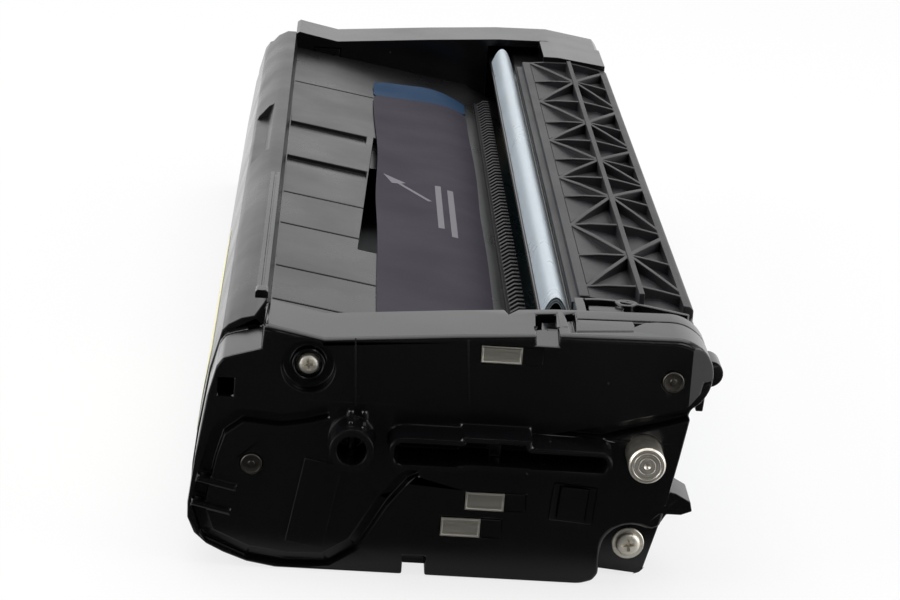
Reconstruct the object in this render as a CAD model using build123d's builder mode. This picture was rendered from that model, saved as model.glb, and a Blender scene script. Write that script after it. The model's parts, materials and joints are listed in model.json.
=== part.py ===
"""All-in-one toner cartridge: toner hopper and developer unit on the left, photoconductor
drum and cleaner on the right, with its protective sheet still in place.

X runs from the hopper to the drum, Y from the contact end to the drive end and Z up.
The origin is in the middle of the flat bottom. All sizes are millimetres.
"""
from build123d import *
from math import acos, atan2, cos, degrees, hypot, pi, radians, sin, sqrt, tan
import os

os.makedirs("parts", exist_ok=True)

# Overall sizes
LENGTH = 340.0
HALF = LENGTH / 2
BOSS_REACH = 9.0          # the guide bosses and the drum pin stand out this far from the near face

# Walls
WALL = 2.2
END_WALL = 2.5
CAP_FACE = 4.0
CAP_DEPTH = 20.0
CHEEK_WALL = 4.0
PLATE_WALL = 3.0
CAP_RIM = CAP_FACE + 3.0  # depth of the caps' right side, where the cheek plates start
CHEEK_RELIEF = 30.0       # from here to the right the caps leave room for the cheeks
FIT = 0.05                # radial clearance of shafts, pins and screws in their holes
GAP = 0.3                 # clearance between pieces that move past each other

# Stations along the length
HOPPER_END = HALF - CAP_DEPTH
NEAR_FACE = -HALF
PLATE_NEAR = NEAR_FACE + CAP_RIM
CHEEK_NEAR = PLATE_NEAR + PLATE_WALL
CHEEK_FAR = HALF - CAP_RIM
ROLL_NEAR = -HALF + 40.0  # the working length of the drum and rollers
ROLL_FAR = HALF - 46.0
COVER_NEAR = -HALF + 37.7
COVER_FAR = HALF - 45.0
SHEET_FAR = HALF - 67.0

# Drum
DRUM_X = 44.3
DRUM_Z = 31.2
DRUM_R = 12.0
DRUM_TUBE_WALL = 0.9
PIN_R = 4.0
HUB_R = 7.0
COUPLING_R = 5.6

# Gears
MODULE = 0.7
PRESSURE_ANGLE = radians(20)
ADDENDUM = 0.95
DEDENDUM = 1.25
BACKLASH = 0.14
GEAR_WIDTH = 6.0
GEAR_SETBACK = 1.5        # from the hopper's end wall to the gears
DRUM_TEETH = 36
DEVELOPER_TEETH = 22
IDLER_TEETH = 18
SUPPLY_TEETH = 16
SMALL_AGITATOR_TEETH = 26
MAIN_AGITATOR_TEETH = 48
FLANK_STEPS = 5

# Rollers
DEVELOPER_ANGLE = radians(203)
DEVELOPER_SHAFT_R = 3.0
BUSH_WALL = 1.6
SUPPLY_ANGLE = radians(200)
SUPPLY_R = 7.0
SUPPLY_SHAFT_R = 2.5
CHARGE_ANGLE = radians(105)
CHARGE_R = 4.0
CHARGE_SHAFT_R = 2.5
SHAFT_OVERHANG = 8.0

# Agitators
SMALL_AGITATOR_ANGLE = radians(184)
MAIN_AGITATOR_ANGLE = radians(165)
AGITATOR_JOURNAL_R = 3.0
SMALL_BLADE_R = 6.0
MAIN_SHEET_R = 18.0
SHEET_T = 0.4

# Cleaner
CLEANER_TOP = 51.9
BLADE_CONTACT_ANGLE = radians(45)
BLADE_LEAN = radians(110)
BLADE_T = 1.6
BLADE_LENGTH = 8.0
BLADE_LAP = 3.0
HOLDER_T = 1.2
HOLDER_REACH = 10.2
HOLDER_FLANGE = 5.0
LIP_Z = 38.0

# Lattice cover
COVER_LEFT = 29.3
COVER_RIM_LEFT = 33.3
FILM_STEP = 31.0          # left of here the cover's left band lies lower, beside the folded film
COVER_SPINE = 45.2
COVER_RIGHT = 57.0
RIB = 1.3
NODE_SHARES = (0.136, 0.354, 0.509, 0.681, 0.891)
NEAR_POCKET = 8.3         # the last cross rib stands this far from the near end of the cover

# Screws and pins
SCREW_R = 1.5
SCREW_HEAD_R = 2.3
SCREW_HEAD = 1.6
WASHER_HEAD_R = 3.6
RIVET_R = 2.3
POST_R = 4.0
WELL_R = 5.7
WELL_WALL = 1.1
WELL_DEPTH = 3.0
SCREW_WELL = (-29.2, 46.3)
EAR_SCREW = (43.4, 7.6)
LEFT_RIVET = (-40.3, 23.7)
RIGHT_RIVET = (49.3, 47.6)
LOW_POST = (8.0, 6.6)

# Outlines across the length, as (x, z) points of the real section
CAP_LEFT = [(-34, 0), (-40.3, 1), (-45.4, 2.8), (-49.2, 4.6), (-52, 7), (-53.6, 10.5), (-53.7, 14),
            (-52.6, 24.3), (-50.6, 38.4), (-48.9, 45.2), (-47.6, 47.2), (-45.5, 48)]
CAP_TOP = [(-39.5, 49.8), (-39.2, 54.4), (-38.2, 55.1), (-36, 54.6), (-26.1, 52.7), (2.7, 55.1),
           (24.6, 56.6)]
CAP_END = (49.3, 48.1)    # the right end is round about this point
CAP_END_R = 9.0
CAP_END_LOW = -57.0       # where the round end meets the right side, in degrees
CAP_RIGHT = [(53.8, 39.5), (52.3, 30.3), (50.1, 18.2), (49.3, 14.3)]
EAR_SCOOP_R = 6.7         # the caps' lower right corner is cut away round the ear screw
EAR_SCOOP_START = 62.0
CAP_CORNER = [(36.7, 2.4), (35.6, 0.8), (33.3, 0)]
LID_TOP = [(-38.6, 50.1), (-14.5, 46.2), (15, 41.3), (27, 35.3)]
LID_UNDER = [(26.2, 33.4), (14.6, 39.0), (-14.9, 43.9), (-38.2, 47.7), (-41.6, 50.6), (-44.6, 48.9),
             (-46.4, 47.5)]
LID_LEFT = [(-48.6, 47.5), (-47.4, 50.3), (-44.6, 53.6), (-41.8, 55.1), (-39.2, 55.1)]
HOPPER_LEFT = [(-34, 0), (-40.3, 1), (-45.4, 2.8), (-49.5, 5), (-52.4, 7.8), (-53.9, 12), (-53.8, 16),
               (-53, 24.3), (-51, 38.4), (-48.6, 47.5)]
HOPPER_RIGHT = [(26.2, 33.4), (28.5, 31), (31, 25), (31.5, 17), (33, 11.5), (33, 2), (31, 0)]
CHAMBER = [(-34, 2.2), (-12, 2.2), (-8.5, 8), (-6, 8), (-2, 2.6), (30, 2.6), (30.8, 11.5), (36, 11.5),
           (36, 32), (26.2, 33.4), (14.6, 39), (-14.9, 43.9), (-38.2, 47.7), (-41.6, 50.6),
           (-44.6, 48.9), (-46.4, 47.5), (-48.7, 38.4), (-50.8, 24.3), (-51.6, 16), (-51.6, 12.6),
           (-50.4, 9.2), (-48, 7), (-44.6, 5), (-39.8, 3.2)]
CHEEK = [(22, 50.7), (22, 46.5), (30.5, 36), (33.8, 20), (33.8, 1.6), (46.4, 0.5), (49.5, 12.5),
         (51.6, 24), (54, 37), (57.4, 41), (58, 47), (56.6, 51.9), (COVER_LEFT, 51.9),
         (COVER_LEFT, 50.7)]
SIDE_PLATE = [(34.6, 37.5), (34.6, 1.5), (46.9, 0.4), (49.9, 11.9), (51.6, 21), (54.4, 37.5)]
SLOT_WALL = [(22, 49.2), (22, 50.7), (COVER_LEFT, 50.7), (COVER_LEFT, 51.9), (31.6, 51.9), (31.6, 50),
             (34.4, 45.6), (34.2, 43.9), (32.2, 43.6), (27.2, 48.6), (26, 49.2)]
RIGHT_WALL = [(54.8, 50), (56, 47), (56.2, 44), (56, 38), (57.6, 38), (58, 44), (58, 47.5),
              (57.2, 50)]
CAP_WEB = [(-38, 46.5), (-15, 42.8), (14.5, 37.8), (21.5, 34.5), (21.5, 54.5), (2.7, 53.6),
           (-26, 51.2), (-38, 53.6)]
CHANNEL = [(-24.4, 36.3), (-29.5, 34.8), (-34.6, 33.9), (-42.8, 34.7), (-47.6, 31), (-49.3, 25),
           (-51.4, 13.5), (-49.2, 6.9), (-40, 3.1), (-32, 2.1), (-23.2, 2.4), (-17.4, 6.2),
           (-11.4, 16.8), (-7.2, 22.3), (-4.4, 23.9)]
CHANNEL_WIDTH = 2.6
CHANNEL_DEPTH = 2.8
CHANNEL_BEND = 2.0
UNIT_GROOVE = [(24.7, 34.2), (36.1, 36.8), (49.1, 40.4), (53.1, 42), (55.6, 44.6), (56.2, 47.2),
               (60, 47.2), (60, 40.4), (53.8, 39.4), (49.4, 37.8), (41.2, 35.6), (35.2, 33.7)]
UNIT_GROOVE_DEPTH = 3.0
HOOK = [(49.2, 19.6), (53.5, 18.6), (56.9, 16.8), (57.4, 14.6), (55, 13.6), (51.8, 13.6),
        (50.6, 11.5), (48, 11.5)]
HOOK_DEPTH = 8.0
KNOB = (58.4, 46.6)
KNOB_R = 3.0

# Guide bosses and contacts on the near face
RING_BOSS = (-19.0, 30.9)
RING_BOSS_R = 4.9
RING_BOSS_BORE = 3.1
RING_BAR = 1.2
GUIDE_WALL = 1.3
GUIDE_PARTS = [(-11.1, 5.2, 27.3, 34.6), (4.4, 19.4, 28.0, 35.4), (18.8, 37.0, 27.8, 33.8)]
GUIDE_ROUND = 2.9
GUIDE_RIB = (10.6, 13.2)
CONTACT_T = 0.6
CONTACT_PROUD = 0.2
POCKET_WIDTH = 4.6
CONTACTS = {"charge_contact": (12.0, 51.4, 8.8, 3.8), "developer_contact": (10.7, 17.9, 8.5, 4.1),
            "supply_contact": (5.8, 11.7, 8.6, 4.3)}
PLUG = (29.9, 18.4)
PLUG_SIZE = (6.0, 7.5)
PLUG_TURN = -4.6
PLUG_DEPTH = 2.0
PLUG_FRAME = (9.4, 8.7)
CAP_NOTCHES = [(-6.3, -1.3, 0, 4.5), (-48.4, -45.0, 38.7, 42.8)]
CROSS_RIBS = [(-47.6, 18.9), (-48.6, 13.4)]
CROSS_RIB = (8.6, 1.3)
CROSS_RIB_TURN = -12.0
CROSS_RIB_PROUD = 0.9

# Grooves across the hopper, and the finger scoop in its left wall
GROOVES = (100.0, -34.0, -65.0, -104.0, -132.0)
GROOVE = 1.0
SCOOP_NEAR = -7.0
SCOOP_FAR = 48.0

# Film pieces
FILM_T = 0.4
SHEET_LEFT = -14.5
SHEET_RIGHT = 13.6
TAB_LENGTH = 15.0
STRIP_WIDTH = 6.6
STRIP_HEIGHT = 5.0
STRIP_NEAR = -HALF + 33.0
STRIP_FAR = HALF - 30.0
LABEL_T = 0.2

# Tooth strip beside the slot
TOOTH_PITCH = 3.4
TOOTH_T = 1.4
TOOTH_FOOT = 1.0
TOOTH_LEFT = 17.0
TOOTH_RIGHT = 21.4
TOOTH_CREST = 19.6        # from here to the right a fin is level
TOOTH_TOP = 42.2

# Rail on the hopper's ridge
RAIL_FAR = -HALF + 130.0
RAIL_WIDTH = 2.4
RAIL_HEIGHT = 1.4
RAIL_GROOVE = 0.5
RAIL_X = -40.4
RIDGE_TOP = 55.1
CLIP_LENGTH = 4.0
CLIP_WIDTH = 2.9
CLIP_HEIGHT = 1.9
CLIP_CHAMFER = 0.5

# Bands and cuts of the lid
GROOVE_BAND = [(-38.2, 51.5), (-14.5, 47.6), (-14.5, 45.6), (-38.2, 49.4)]
SCOOP = [(-52, 47.9), (-44.6, 50.3), (-42.6, 56), (-52, 56)]

# Toner fill port
FILL_PORT = (-3.0, 32.5)
FILL_R = 5.0
FILL_FLANGE = 1.2

# Far end
FAR_SCREWS = [SCREW_WELL, RIGHT_RIVET, LOW_POST]
FAR_WELL_DEPTH = 2.2
DRIVE_CLEARANCE = 1.5
END_BLOCK = [(37.5, CLEANER_TOP + GAP), (37.5, 56.9), (42, 56.9), (56.6, 55.0), (56.6, CLEANER_TOP + GAP)]
FAR_SLOPE = [(38, 57.3), (60, 53.9), (60, 60), (38, 60)]
COUPLING_LENGTH = 6.0
COUPLING_ROUND = 1.2

# Drum frame
WEB = [(COVER_LEFT, 51.9), (COVER_LEFT, 50.5), (33, 45), (34, 42), (44.3, 36), (55.6, 39), (57, 44), (57, 48),
       (56.6, 51.9)]
WEB_WALL = 6.0
WEB_NEAR = ROLL_NEAR - 13.0
WEB_FAR = ROLL_FAR + 13.0
DRUM_CLEARANCE = 0.6
DECK = 1.0
DECK_REACH = 3.0
DECK_RIGHT = 56.6
BUSH_WIDTH = 8.0
BUSH_FOOT = 1.2
EAR_POST = 12.0
PLATE_CORNER = 1.8
BLADE_BOSS = 12.0
BLADE_BOSS_LEFT = 44.6
BLADE_BOSS_RIGHT = 48.0
BLADE_BOSS_LOW = 45.5
BLADE_SCREW_DEPTH = 3.2
STRAP = [(31.9, -HALF + 34.6), (37, -HALF + 35.1), (41.1, -HALF + 34.1), (47.5, -HALF + 31.0),
         (54.7, -HALF + 26.6)]
STRAP_WALL = 1.2
STRAP_HEIGHT = 3.2
EYELET = (41.3, -HALF + 33.4)
EYELET_R = 2.6
PAD = (36.5, -HALF + 30.2, 8.0, 4.4, 2.4)
DECK_WALL = (29.6, 31.8)  # left and right side of the low wall beside the folded film
DECK_WALL_HEIGHT = 3.0

# Drum flanges and pin
FLANGE_COLLAR = 6.0
FLANGE_PLUG = 12.0
PIN_ENGAGE = 4.0
PIN_CHAMFER = 0.4
RIVET_PROUD = 0.6

# Roller ends
BUSH_COLLAR = 1.0
SUPPLY_OVERHANG = 5.0
CHARGE_OVERHANG = 2.0
PADDLE_T = 1.2
PADDLE_NEAR = -HOPPER_END + 8.0
PADDLE_FAR = HOPPER_END - 8.0
CARRIER_R = 7.0

# Blades
LOW_HEAD = 1.0
METERING_T = 0.3
DOCTOR_BACK = 12.0
DOCTOR_FRONT = 0.5
DOCTOR_BLADE_BACK = 5.0
DOCTOR_REACH = 1.2
DOCTOR_SCREW_BACK = 8.5
DOCTOR_SCREW_DEPTH = 2.0
SCREW_INSET = 10.0
RECOVERY_LEFT = 54.8
LIP_FILM_X = 31.2
LIP_FILM_HEIGHT = 5.2

# Film and label details
TAB_T = 0.25
FOLD_T = 0.5
LABEL_NEAR = -HALF + 40.0
LABEL_FAR = -HALF + 150.0
LABEL_WALL = [(-53.8, 16), (-53, 24.3), (-51.3, 36.3)]
GUIDE_SINK = 2.0

# Top and edges of the near end cap
CAP_EDGE_R = 1.5
CAP_EDGE_LEFT = -36.0
WELL_RING_R = 3.7
WELL_RING_WALL = 0.8
WELL_RING_HEIGHT = 1.4
RING_RIBS = (-19.5, -16.6)
RING_RIB = (0.9, 3.0)
RING_RIB_LOW = 34.0
RING_RIB_REACH = 7.0
SEAM = 0.5
LEFT_SEAM = (NEAR_FACE + 16.7, -60.0, -39.0, 30.0)
RIM_SEAM = (NEAR_FACE + 13.0, 28.5, 60.0, 50.0)
SEAM_NOTCH = (-41.6, NEAR_FACE + 18.5, 48.9)
SEAM_NOTCH_SIZE = (2.4, 3.2, 2.2)
TOP_OPENINGS = [
    [(19.3, NEAR_FACE + 5.8), (23.7, NEAR_FACE + 6.6), (24.2, NEAR_FACE + 16.6), (19.8, NEAR_FACE + 16.4)],
    [(26, NEAR_FACE + 16.8), (28.3, NEAR_FACE + 17.6), (28.1, NEAR_FACE + 10), (27.7, NEAR_FACE + 3),
     (26.6, NEAR_FACE + 2.4), (26.4, NEAR_FACE + 10.8)],
    [(40.7, NEAR_FACE + 13), (46.6, NEAR_FACE + 13), (42.9, NEAR_FACE + 11.7), (40.9, NEAR_FACE + 9)],
]
PAD_GAP = [(27.7, NEAR_FACE + 3), (40.2, NEAR_FACE + 4.8), (40.2, NEAR_FACE + 5.4), (27.7, NEAR_FACE + 3.8)]
PAD_GAP_LOW = 55.3
TOP_OPENING_LOW = 53.5
REAR_NOTCH = [(13.1, -HOPPER_END + GAP), (13.9, NEAR_FACE + 16.5), (16.3, -HOPPER_END + GAP)]
REAR_NOTCH_LOW = 50.0
RAMP_LEFT = 19.2
RAMP_RIGHT = 24.1
RAMP = [(NEAR_FACE - GAP, 53.8), (NEAR_FACE + 6.2, 56.0), (NEAR_FACE + 6.2, 58), (NEAR_FACE - GAP, 58)]
FACET_LEFT = 53.1
FACET_SLOPE = 0.55
FACET_BANDS = [(58.6, 47.2, 57.2), (56.2, 42.0, 47.2)]

# Section of the lattice cover
COVER_LOW = 50.0
COVER_HIGH = 56.2
COVER_BED = [(COVER_LEFT, 51.9), (50, 51.9), (54.8, 50), (57.2, 50), (57.2, 51.2), (55, 51.2), (50, 52.8),
             (44.6, 52.8), (COVER_RIM_LEFT, 54.8), (FILM_STEP, 54.8), (FILM_STEP, 53.4), (COVER_LEFT, 53.4)]
COVER_BAND = [(FILM_STEP, 51.9), (COVER_RIM_LEFT, 51.9), (COVER_RIM_LEFT, 55), (FILM_STEP, 55)]
COVER_RIGHT_RIM = [(54.8, 50), (57.2, 50), (57.2, 52.9), (56.4, 53.7), (54.8, 53.9)]
COVER_ENVELOPE = [(FILM_STEP, 51.9), (50, 51.9), (54.8, 50), (57.2, 50), (57.2, 52.9), (56.4, 53.7),
                  (54.8, 53.9), (50, 54.9), (45.9, 55.6), (44.5, 55.6), (38, 55.5), (COVER_RIM_LEFT, 55),
                  (FILM_STEP, 55)]


def across(y):
    """The plane across the length at a station, seen from the near end."""
    return Plane(origin=(0, y, 0), x_dir=(1, 0, 0), z_dir=(0, -1, 0))


def polar(center, angle, distance):
    """The point at an angle and a distance from another point."""
    return (center[0] + distance * cos(angle), center[1] + distance * sin(angle))


def involute(angle):
    return tan(angle) - angle


def pitch_radius(teeth):
    return MODULE * teeth / 2


def gear_distance(teeth_a, teeth_b):
    return pitch_radius(teeth_a) + pitch_radius(teeth_b)


def gear_points(center, teeth, phase):
    """The outline of a spur gear, with involute flanks and one tooth centred on the phase."""
    pitch = pitch_radius(teeth)
    base = pitch * cos(PRESSURE_ANGLE)
    tip = pitch + ADDENDUM * MODULE
    root = pitch - DEDENDUM * MODULE
    start = max(base, root)
    half_tooth = pi / (2 * teeth) - BACKLASH / (2 * pitch) + involute(PRESSURE_ANGLE)
    radii = [start + (tip - start) * step / FLANK_STEPS for step in range(FLANK_STEPS + 1)]
    flank = [(half_tooth - involute(acos(min(1, base / radius))), radius) for radius in radii]
    if root < start:
        flank.insert(0, (flank[0][0], root))
    points = []
    for tooth in range(teeth):
        middle = phase + 2 * pi * tooth / teeth
        points += [polar(center, middle - angle, radius) for angle, radius in flank]
        points += [polar(center, middle + angle, radius) for angle, radius in reversed(flank)]
    return points


def mesh_phase(center_a, teeth_a, phase_a, center_b, teeth_b):
    """The phase at which gear b has a gap where gear a has a tooth."""
    line = atan2(center_b[1] - center_a[1], center_b[0] - center_a[0])
    share = (line - phase_a) * teeth_a / (2 * pi)
    return line + pi - (2 * pi / teeth_b) * (0.5 - share)


def meeting_point(center_a, reach_a, center_b, reach_b):
    """The lower point at the given distances from two centres."""
    apart = hypot(center_b[0] - center_a[0], center_b[1] - center_a[1])
    along = (reach_a ** 2 - reach_b ** 2 + apart ** 2) / (2 * apart)
    aside = sqrt(reach_a ** 2 - along ** 2)
    dx = (center_b[0] - center_a[0]) / apart
    dz = (center_b[1] - center_a[1]) / apart
    return (center_a[0] + along * dx - aside * dz, center_a[1] + along * dz + aside * dx)


def section(points):
    """A filled outline through the points, in the open sketch."""
    Polygon(*points, align=None)


def disc(center, radius, mode=Mode.ADD):
    with Locations(center):
        Circle(radius, mode=mode)


def box_section(left, right, low, high, mode=Mode.ADD):
    with Locations(((left + right) / 2, (low + high) / 2)):
        Rectangle(right - left, high - low, mode=mode)


def cap_section():
    """The outline of an end cap, with its round right end and the scoop round the ear screw."""
    end_top = polar(CAP_END, pi / 2, CAP_END_R)
    end_low = polar(CAP_END, radians(CAP_END_LOW), CAP_END_R)
    scoop_high = polar(EAR_SCREW, radians(EAR_SCOOP_START), EAR_SCOOP_R)
    scoop_low = polar(EAR_SCREW, pi, EAR_SCOOP_R)
    with BuildLine() as outline:
        Polyline(*reversed(CAP_LEFT))
        Line(CAP_LEFT[0], CAP_CORNER[-1])
        Polyline(*reversed(CAP_CORNER))
        Line(CAP_CORNER[0], scoop_low)
        ThreePointArc(scoop_low, polar(EAR_SCREW, radians(EAR_SCOOP_START + 180) / 2, EAR_SCOOP_R),
                      scoop_high)
        Line(scoop_high, CAP_RIGHT[-1])
        Polyline(*reversed(CAP_RIGHT), end_low)
        ThreePointArc(end_low, polar(CAP_END, 0, CAP_END_R), end_top)
        Line(end_top, CAP_TOP[-1])
        Polyline(*reversed(CAP_TOP))
        Line(CAP_TOP[0], CAP_LEFT[-1])
    make_face(outline.edges())


def span_of(side, depth_a, depth_b):
    """The near and far stations of a band at two depths below an end face."""
    return sorted((side * (HALF - depth_a), side * (HALF - depth_b)))


def finish(piece, label):
    """Labels a finished piece and writes it."""
    piece.part.label = label
    export_step(piece.part, f"parts/{label}.step")


# Axes of everything that turns
drum_axis = (DRUM_X, DRUM_Z)
developer_axis = polar(drum_axis, DEVELOPER_ANGLE, gear_distance(DRUM_TEETH, DEVELOPER_TEETH))
developer_r = gear_distance(DRUM_TEETH, DEVELOPER_TEETH) - DRUM_R - GAP
supply_axis = polar(developer_axis, SUPPLY_ANGLE, developer_r + SUPPLY_R + GAP)
idler_axis = meeting_point(developer_axis, gear_distance(DEVELOPER_TEETH, IDLER_TEETH),
                           supply_axis, gear_distance(IDLER_TEETH, SUPPLY_TEETH))
small_axis = polar(supply_axis, SMALL_AGITATOR_ANGLE, gear_distance(SUPPLY_TEETH, SMALL_AGITATOR_TEETH))
main_axis = polar(small_axis, MAIN_AGITATOR_ANGLE,
                  gear_distance(SMALL_AGITATOR_TEETH, MAIN_AGITATOR_TEETH))
charge_axis = polar(drum_axis, CHARGE_ANGLE, DRUM_R + GAP + CHARGE_R)

# Phases that mesh the gears at rest
drum_phase = 0.0
developer_phase = mesh_phase(drum_axis, DRUM_TEETH, drum_phase, developer_axis, DEVELOPER_TEETH)
idler_phase = mesh_phase(developer_axis, DEVELOPER_TEETH, developer_phase, idler_axis, IDLER_TEETH)
supply_phase = mesh_phase(idler_axis, IDLER_TEETH, idler_phase, supply_axis, SUPPLY_TEETH)
small_phase = mesh_phase(supply_axis, SUPPLY_TEETH, supply_phase, small_axis, SMALL_AGITATOR_TEETH)
main_phase = mesh_phase(small_axis, SMALL_AGITATOR_TEETH, small_phase, main_axis, MAIN_AGITATOR_TEETH)

gear_near = HOPPER_END + GEAR_SETBACK
gear_far = gear_near + GEAR_WIDTH
lid_lean = atan2(LID_UNDER[0][1] - LID_UNDER[1][1], LID_UNDER[0][0] - LID_UNDER[1][0])
doctor_screw_stations = (ROLL_NEAR + SCREW_INSET, ROLL_FAR - SCREW_INSET)
blade_contact = polar(drum_axis, BLADE_CONTACT_ANGLE, DRUM_R + GAP)
holder_top = polar(blade_contact, BLADE_LEAN, HOLDER_REACH)
blade_screw_x = (BLADE_BOSS_LEFT + BLADE_BOSS_RIGHT) / 2
cleaning_screw_stations = (WEB_NEAR + WEB_WALL + BLADE_BOSS / 2, WEB_FAR - WEB_WALL - BLADE_BOSS / 2)
far_screw_ends = (HOPPER_END + GAP, CHEEK_FAR - CHEEK_WALL, HOPPER_END + GAP)
strip_left = SLOT_WALL[0][0] + GAP / 2


def shaft(axis, radius, near, far):
    """A plain round bar along the length, in the open part."""
    with BuildSketch(across(far)) as profile:
        disc(axis, radius)
    extrude(profile.sketch, amount=far - near)


def bore(axis, radius, near, far):
    """A round hole along the length, in the open part."""
    with BuildSketch(across(far)) as profile:
        disc(axis, radius)
    extrude(profile.sketch, amount=far - near, mode=Mode.SUBTRACT)


def gear(axis, teeth, phase, bore_r):
    """A gear in the drive train's plane, with a bore for its shaft."""
    with BuildSketch(across(gear_far)) as profile:
        section(gear_points(axis, teeth, phase))
        disc(axis, bore_r, mode=Mode.SUBTRACT)
    extrude(profile.sketch, amount=GEAR_WIDTH)


def bar_section(start, angle, length, thickness):
    """A thin bar from a point along an angle, its thickness to the left of that way."""
    end = polar(start, angle, length)
    aside = angle + pi / 2
    section([start, end, polar(end, aside, thickness), polar(start, aside, thickness)])


def cap_shell(side):
    """The shell that both end caps share: face, rim, skirt round the hopper, and web."""
    near, far = span_of(side, 0, CAP_FACE)
    with BuildSketch(across(far)) as face:
        cap_section()
    extrude(face.sketch, amount=far - near)
    near, far = span_of(side, CAP_FACE, CAP_DEPTH)
    with BuildSketch(across(far)) as rim:
        cap_section()
        offset(amount=-WALL, mode=Mode.SUBTRACT)
    extrude(rim.sketch, amount=far - near)
    web_near, web_far = span_of(side, CAP_DEPTH - WALL, CAP_DEPTH)
    with BuildSketch(across(web_far)) as web:
        section(CAP_WEB)
    extrude(web.sketch, amount=web_far - web_near)
    near, far = span_of(side, CAP_RIM, CAP_DEPTH)
    with BuildSketch(across(far)) as relief:
        box_section(CHEEK_RELIEF, DRUM_X + CAP_END_R + DRUM_R, -GAP, CLEANER_TOP + GAP)
        box_section(SCREW_WELL[0] - POST_R - GAP, SCREW_WELL[0] + POST_R + GAP,
                    SCREW_WELL[1] - POST_R - GAP, SCREW_WELL[1] + POST_R + GAP)
    extrude(relief.sketch, amount=far - near, mode=Mode.SUBTRACT)


def cap_groove(station, left, right, low):
    """A shallow groove round an end cap's outline, within a part of its width."""
    with BuildSketch(across(station + SEAM / 2)) as groove:
        cap_section()
        offset(amount=-SEAM, mode=Mode.SUBTRACT)
        box_section(left, right, low, CAP_END[1] + CAP_END_R, mode=Mode.INTERSECT)
    extrude(groove.sketch, amount=SEAM, mode=Mode.SUBTRACT)


def guide_section():
    """The stepped long boss on the near face, with round ends."""
    with BuildSketch(mode=Mode.PRIVATE) as guide:
        for left, right, low, high in GUIDE_PARTS:
            box_section(left, right, low, high)
        fillet(guide.vertices().group_by(Axis.X)[0], GUIDE_ROUND)
        fillet(guide.vertices().group_by(Axis.X)[-1], GUIDE_ROUND)
    add(guide.sketch)


def channel_section():
    """The winding channel on the near face."""
    with BuildLine() as path:
        FilletPolyline(*CHANNEL, radius=CHANNEL_BEND)
    trace(path.edges(), line_width=CHANNEL_WIDTH)


def lattice_section():
    """The ribs of the lattice: cross ribs at the nodes and between them, and diagonals."""
    length = COVER_FAR - COVER_NEAR
    nodes = [COVER_NEAR + share * length for share in NODE_SHARES]
    stops = [COVER_NEAR + NEAR_POCKET] + nodes + [COVER_FAR - RIB / 2]
    middles = [(a + b) / 2 for a, b in zip(nodes, nodes[1:])]
    for y in stops + middles:
        box_section(COVER_RIM_LEFT, COVER_RIGHT, y - RIB / 2, y + RIB / 2)
    for index, node in enumerate(nodes):
        for end in (stops[index], stops[index + 2]):
            rim = end if end in (stops[0], stops[-1]) else (node + end) / 2
            rib_section((COVER_SPINE, node), (COVER_RIM_LEFT, rim))
            rib_section((COVER_SPINE, node), (COVER_RIGHT, rim))


def rib_section(start, end):
    """A rib seen from above, from the middle of one end to the middle of the other."""
    angle = atan2(end[1] - start[1], end[0] - start[0])
    length = hypot(end[0] - start[0], end[1] - start[1])
    bar_section(polar(start, angle - pi / 2, RIB / 2), angle, length, RIB)


def lid_height(x):
    """The height of the lid's long slope at a place across it."""
    (left, high), (right, low) = LID_TOP[1], LID_TOP[2]
    return high + (low - high) * (x - left) / (right - left)


def lip_height(x):
    """The height of the lid's lip, right of the long slope."""
    (left, high), (right, low) = LID_TOP[2], LID_TOP[3]
    return high + (low - high) * (x - left) / (right - left)


def on_lid(left, right, thickness):
    """The outline of a film that lies on the lid's long slope."""
    low_line = [(left, lid_height(left)), (right, lid_height(right))]
    return low_line + [(x, z + thickness) for x, z in reversed(low_line)]


def lid_section_point(along, below):
    """A point under the lid's lip: along it from the tip, and below its underside."""
    return polar(polar(LID_UNDER[0], lid_lean, along), lid_lean - pi / 2, below)


def lid_point(along, below, y):
    """A place under the lid's lip, turned to stand square to it."""
    x, z = lid_section_point(along, below)
    return Location((x, y, z), (0, -degrees(lid_lean), 0))


# Hopper: floor, left wall and end walls of the toner chamber
with BuildPart() as hopper_housing:
    with BuildSketch(across(HOPPER_END)):
        section(HOPPER_LEFT + list(reversed(LID_UNDER)) + HOPPER_RIGHT[1:])
    extrude(amount=2 * HOPPER_END)
    with BuildSketch(across(HOPPER_END - END_WALL)):
        section(CHAMBER)
    extrude(amount=2 * (HOPPER_END - END_WALL), mode=Mode.SUBTRACT)
    for near in (-CHEEK_FAR, HOPPER_END):
        with BuildSketch(across(near + CHEEK_FAR - HOPPER_END)):
            box_section(SCREW_WELL[0] - POST_R, SCREW_WELL[0] + POST_R,
                        SCREW_WELL[1] - POST_R, SCREW_WELL[1] + POST_R)
        extrude(amount=CHEEK_FAR - HOPPER_END)
    shaft(LEFT_RIVET, POST_R, -CHEEK_FAR, -HOPPER_END)
    shaft(LOW_POST, POST_R, HOPPER_END, CHEEK_FAR)
    shaft(idler_axis, SUPPLY_SHAFT_R, HOPPER_END, gear_far + GAP)
    bore(SCREW_WELL, SCREW_R + FIT, -CHEEK_FAR, -HOPPER_END)
    bore(SCREW_WELL, SCREW_R + FIT, HOPPER_END, CHEEK_FAR)
    bore(LOW_POST, SCREW_R + FIT, HOPPER_END, CHEEK_FAR)
    bore(LEFT_RIVET, RIVET_R + FIT, -CHEEK_FAR, -HOPPER_END)
    bore(developer_axis, DEVELOPER_SHAFT_R + BUSH_WALL + FIT, -HOPPER_END, HOPPER_END)
    bore(FILL_PORT, FILL_R, -HOPPER_END, -HOPPER_END + END_WALL)
    bore(supply_axis, SUPPLY_SHAFT_R + FIT, -HOPPER_END, HOPPER_END)
    bore(small_axis, AGITATOR_JOURNAL_R + FIT, -HOPPER_END, HOPPER_END)
    bore(main_axis, AGITATOR_JOURNAL_R + FIT, -HOPPER_END, HOPPER_END)
finish(hopper_housing, "hopper_housing")

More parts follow.
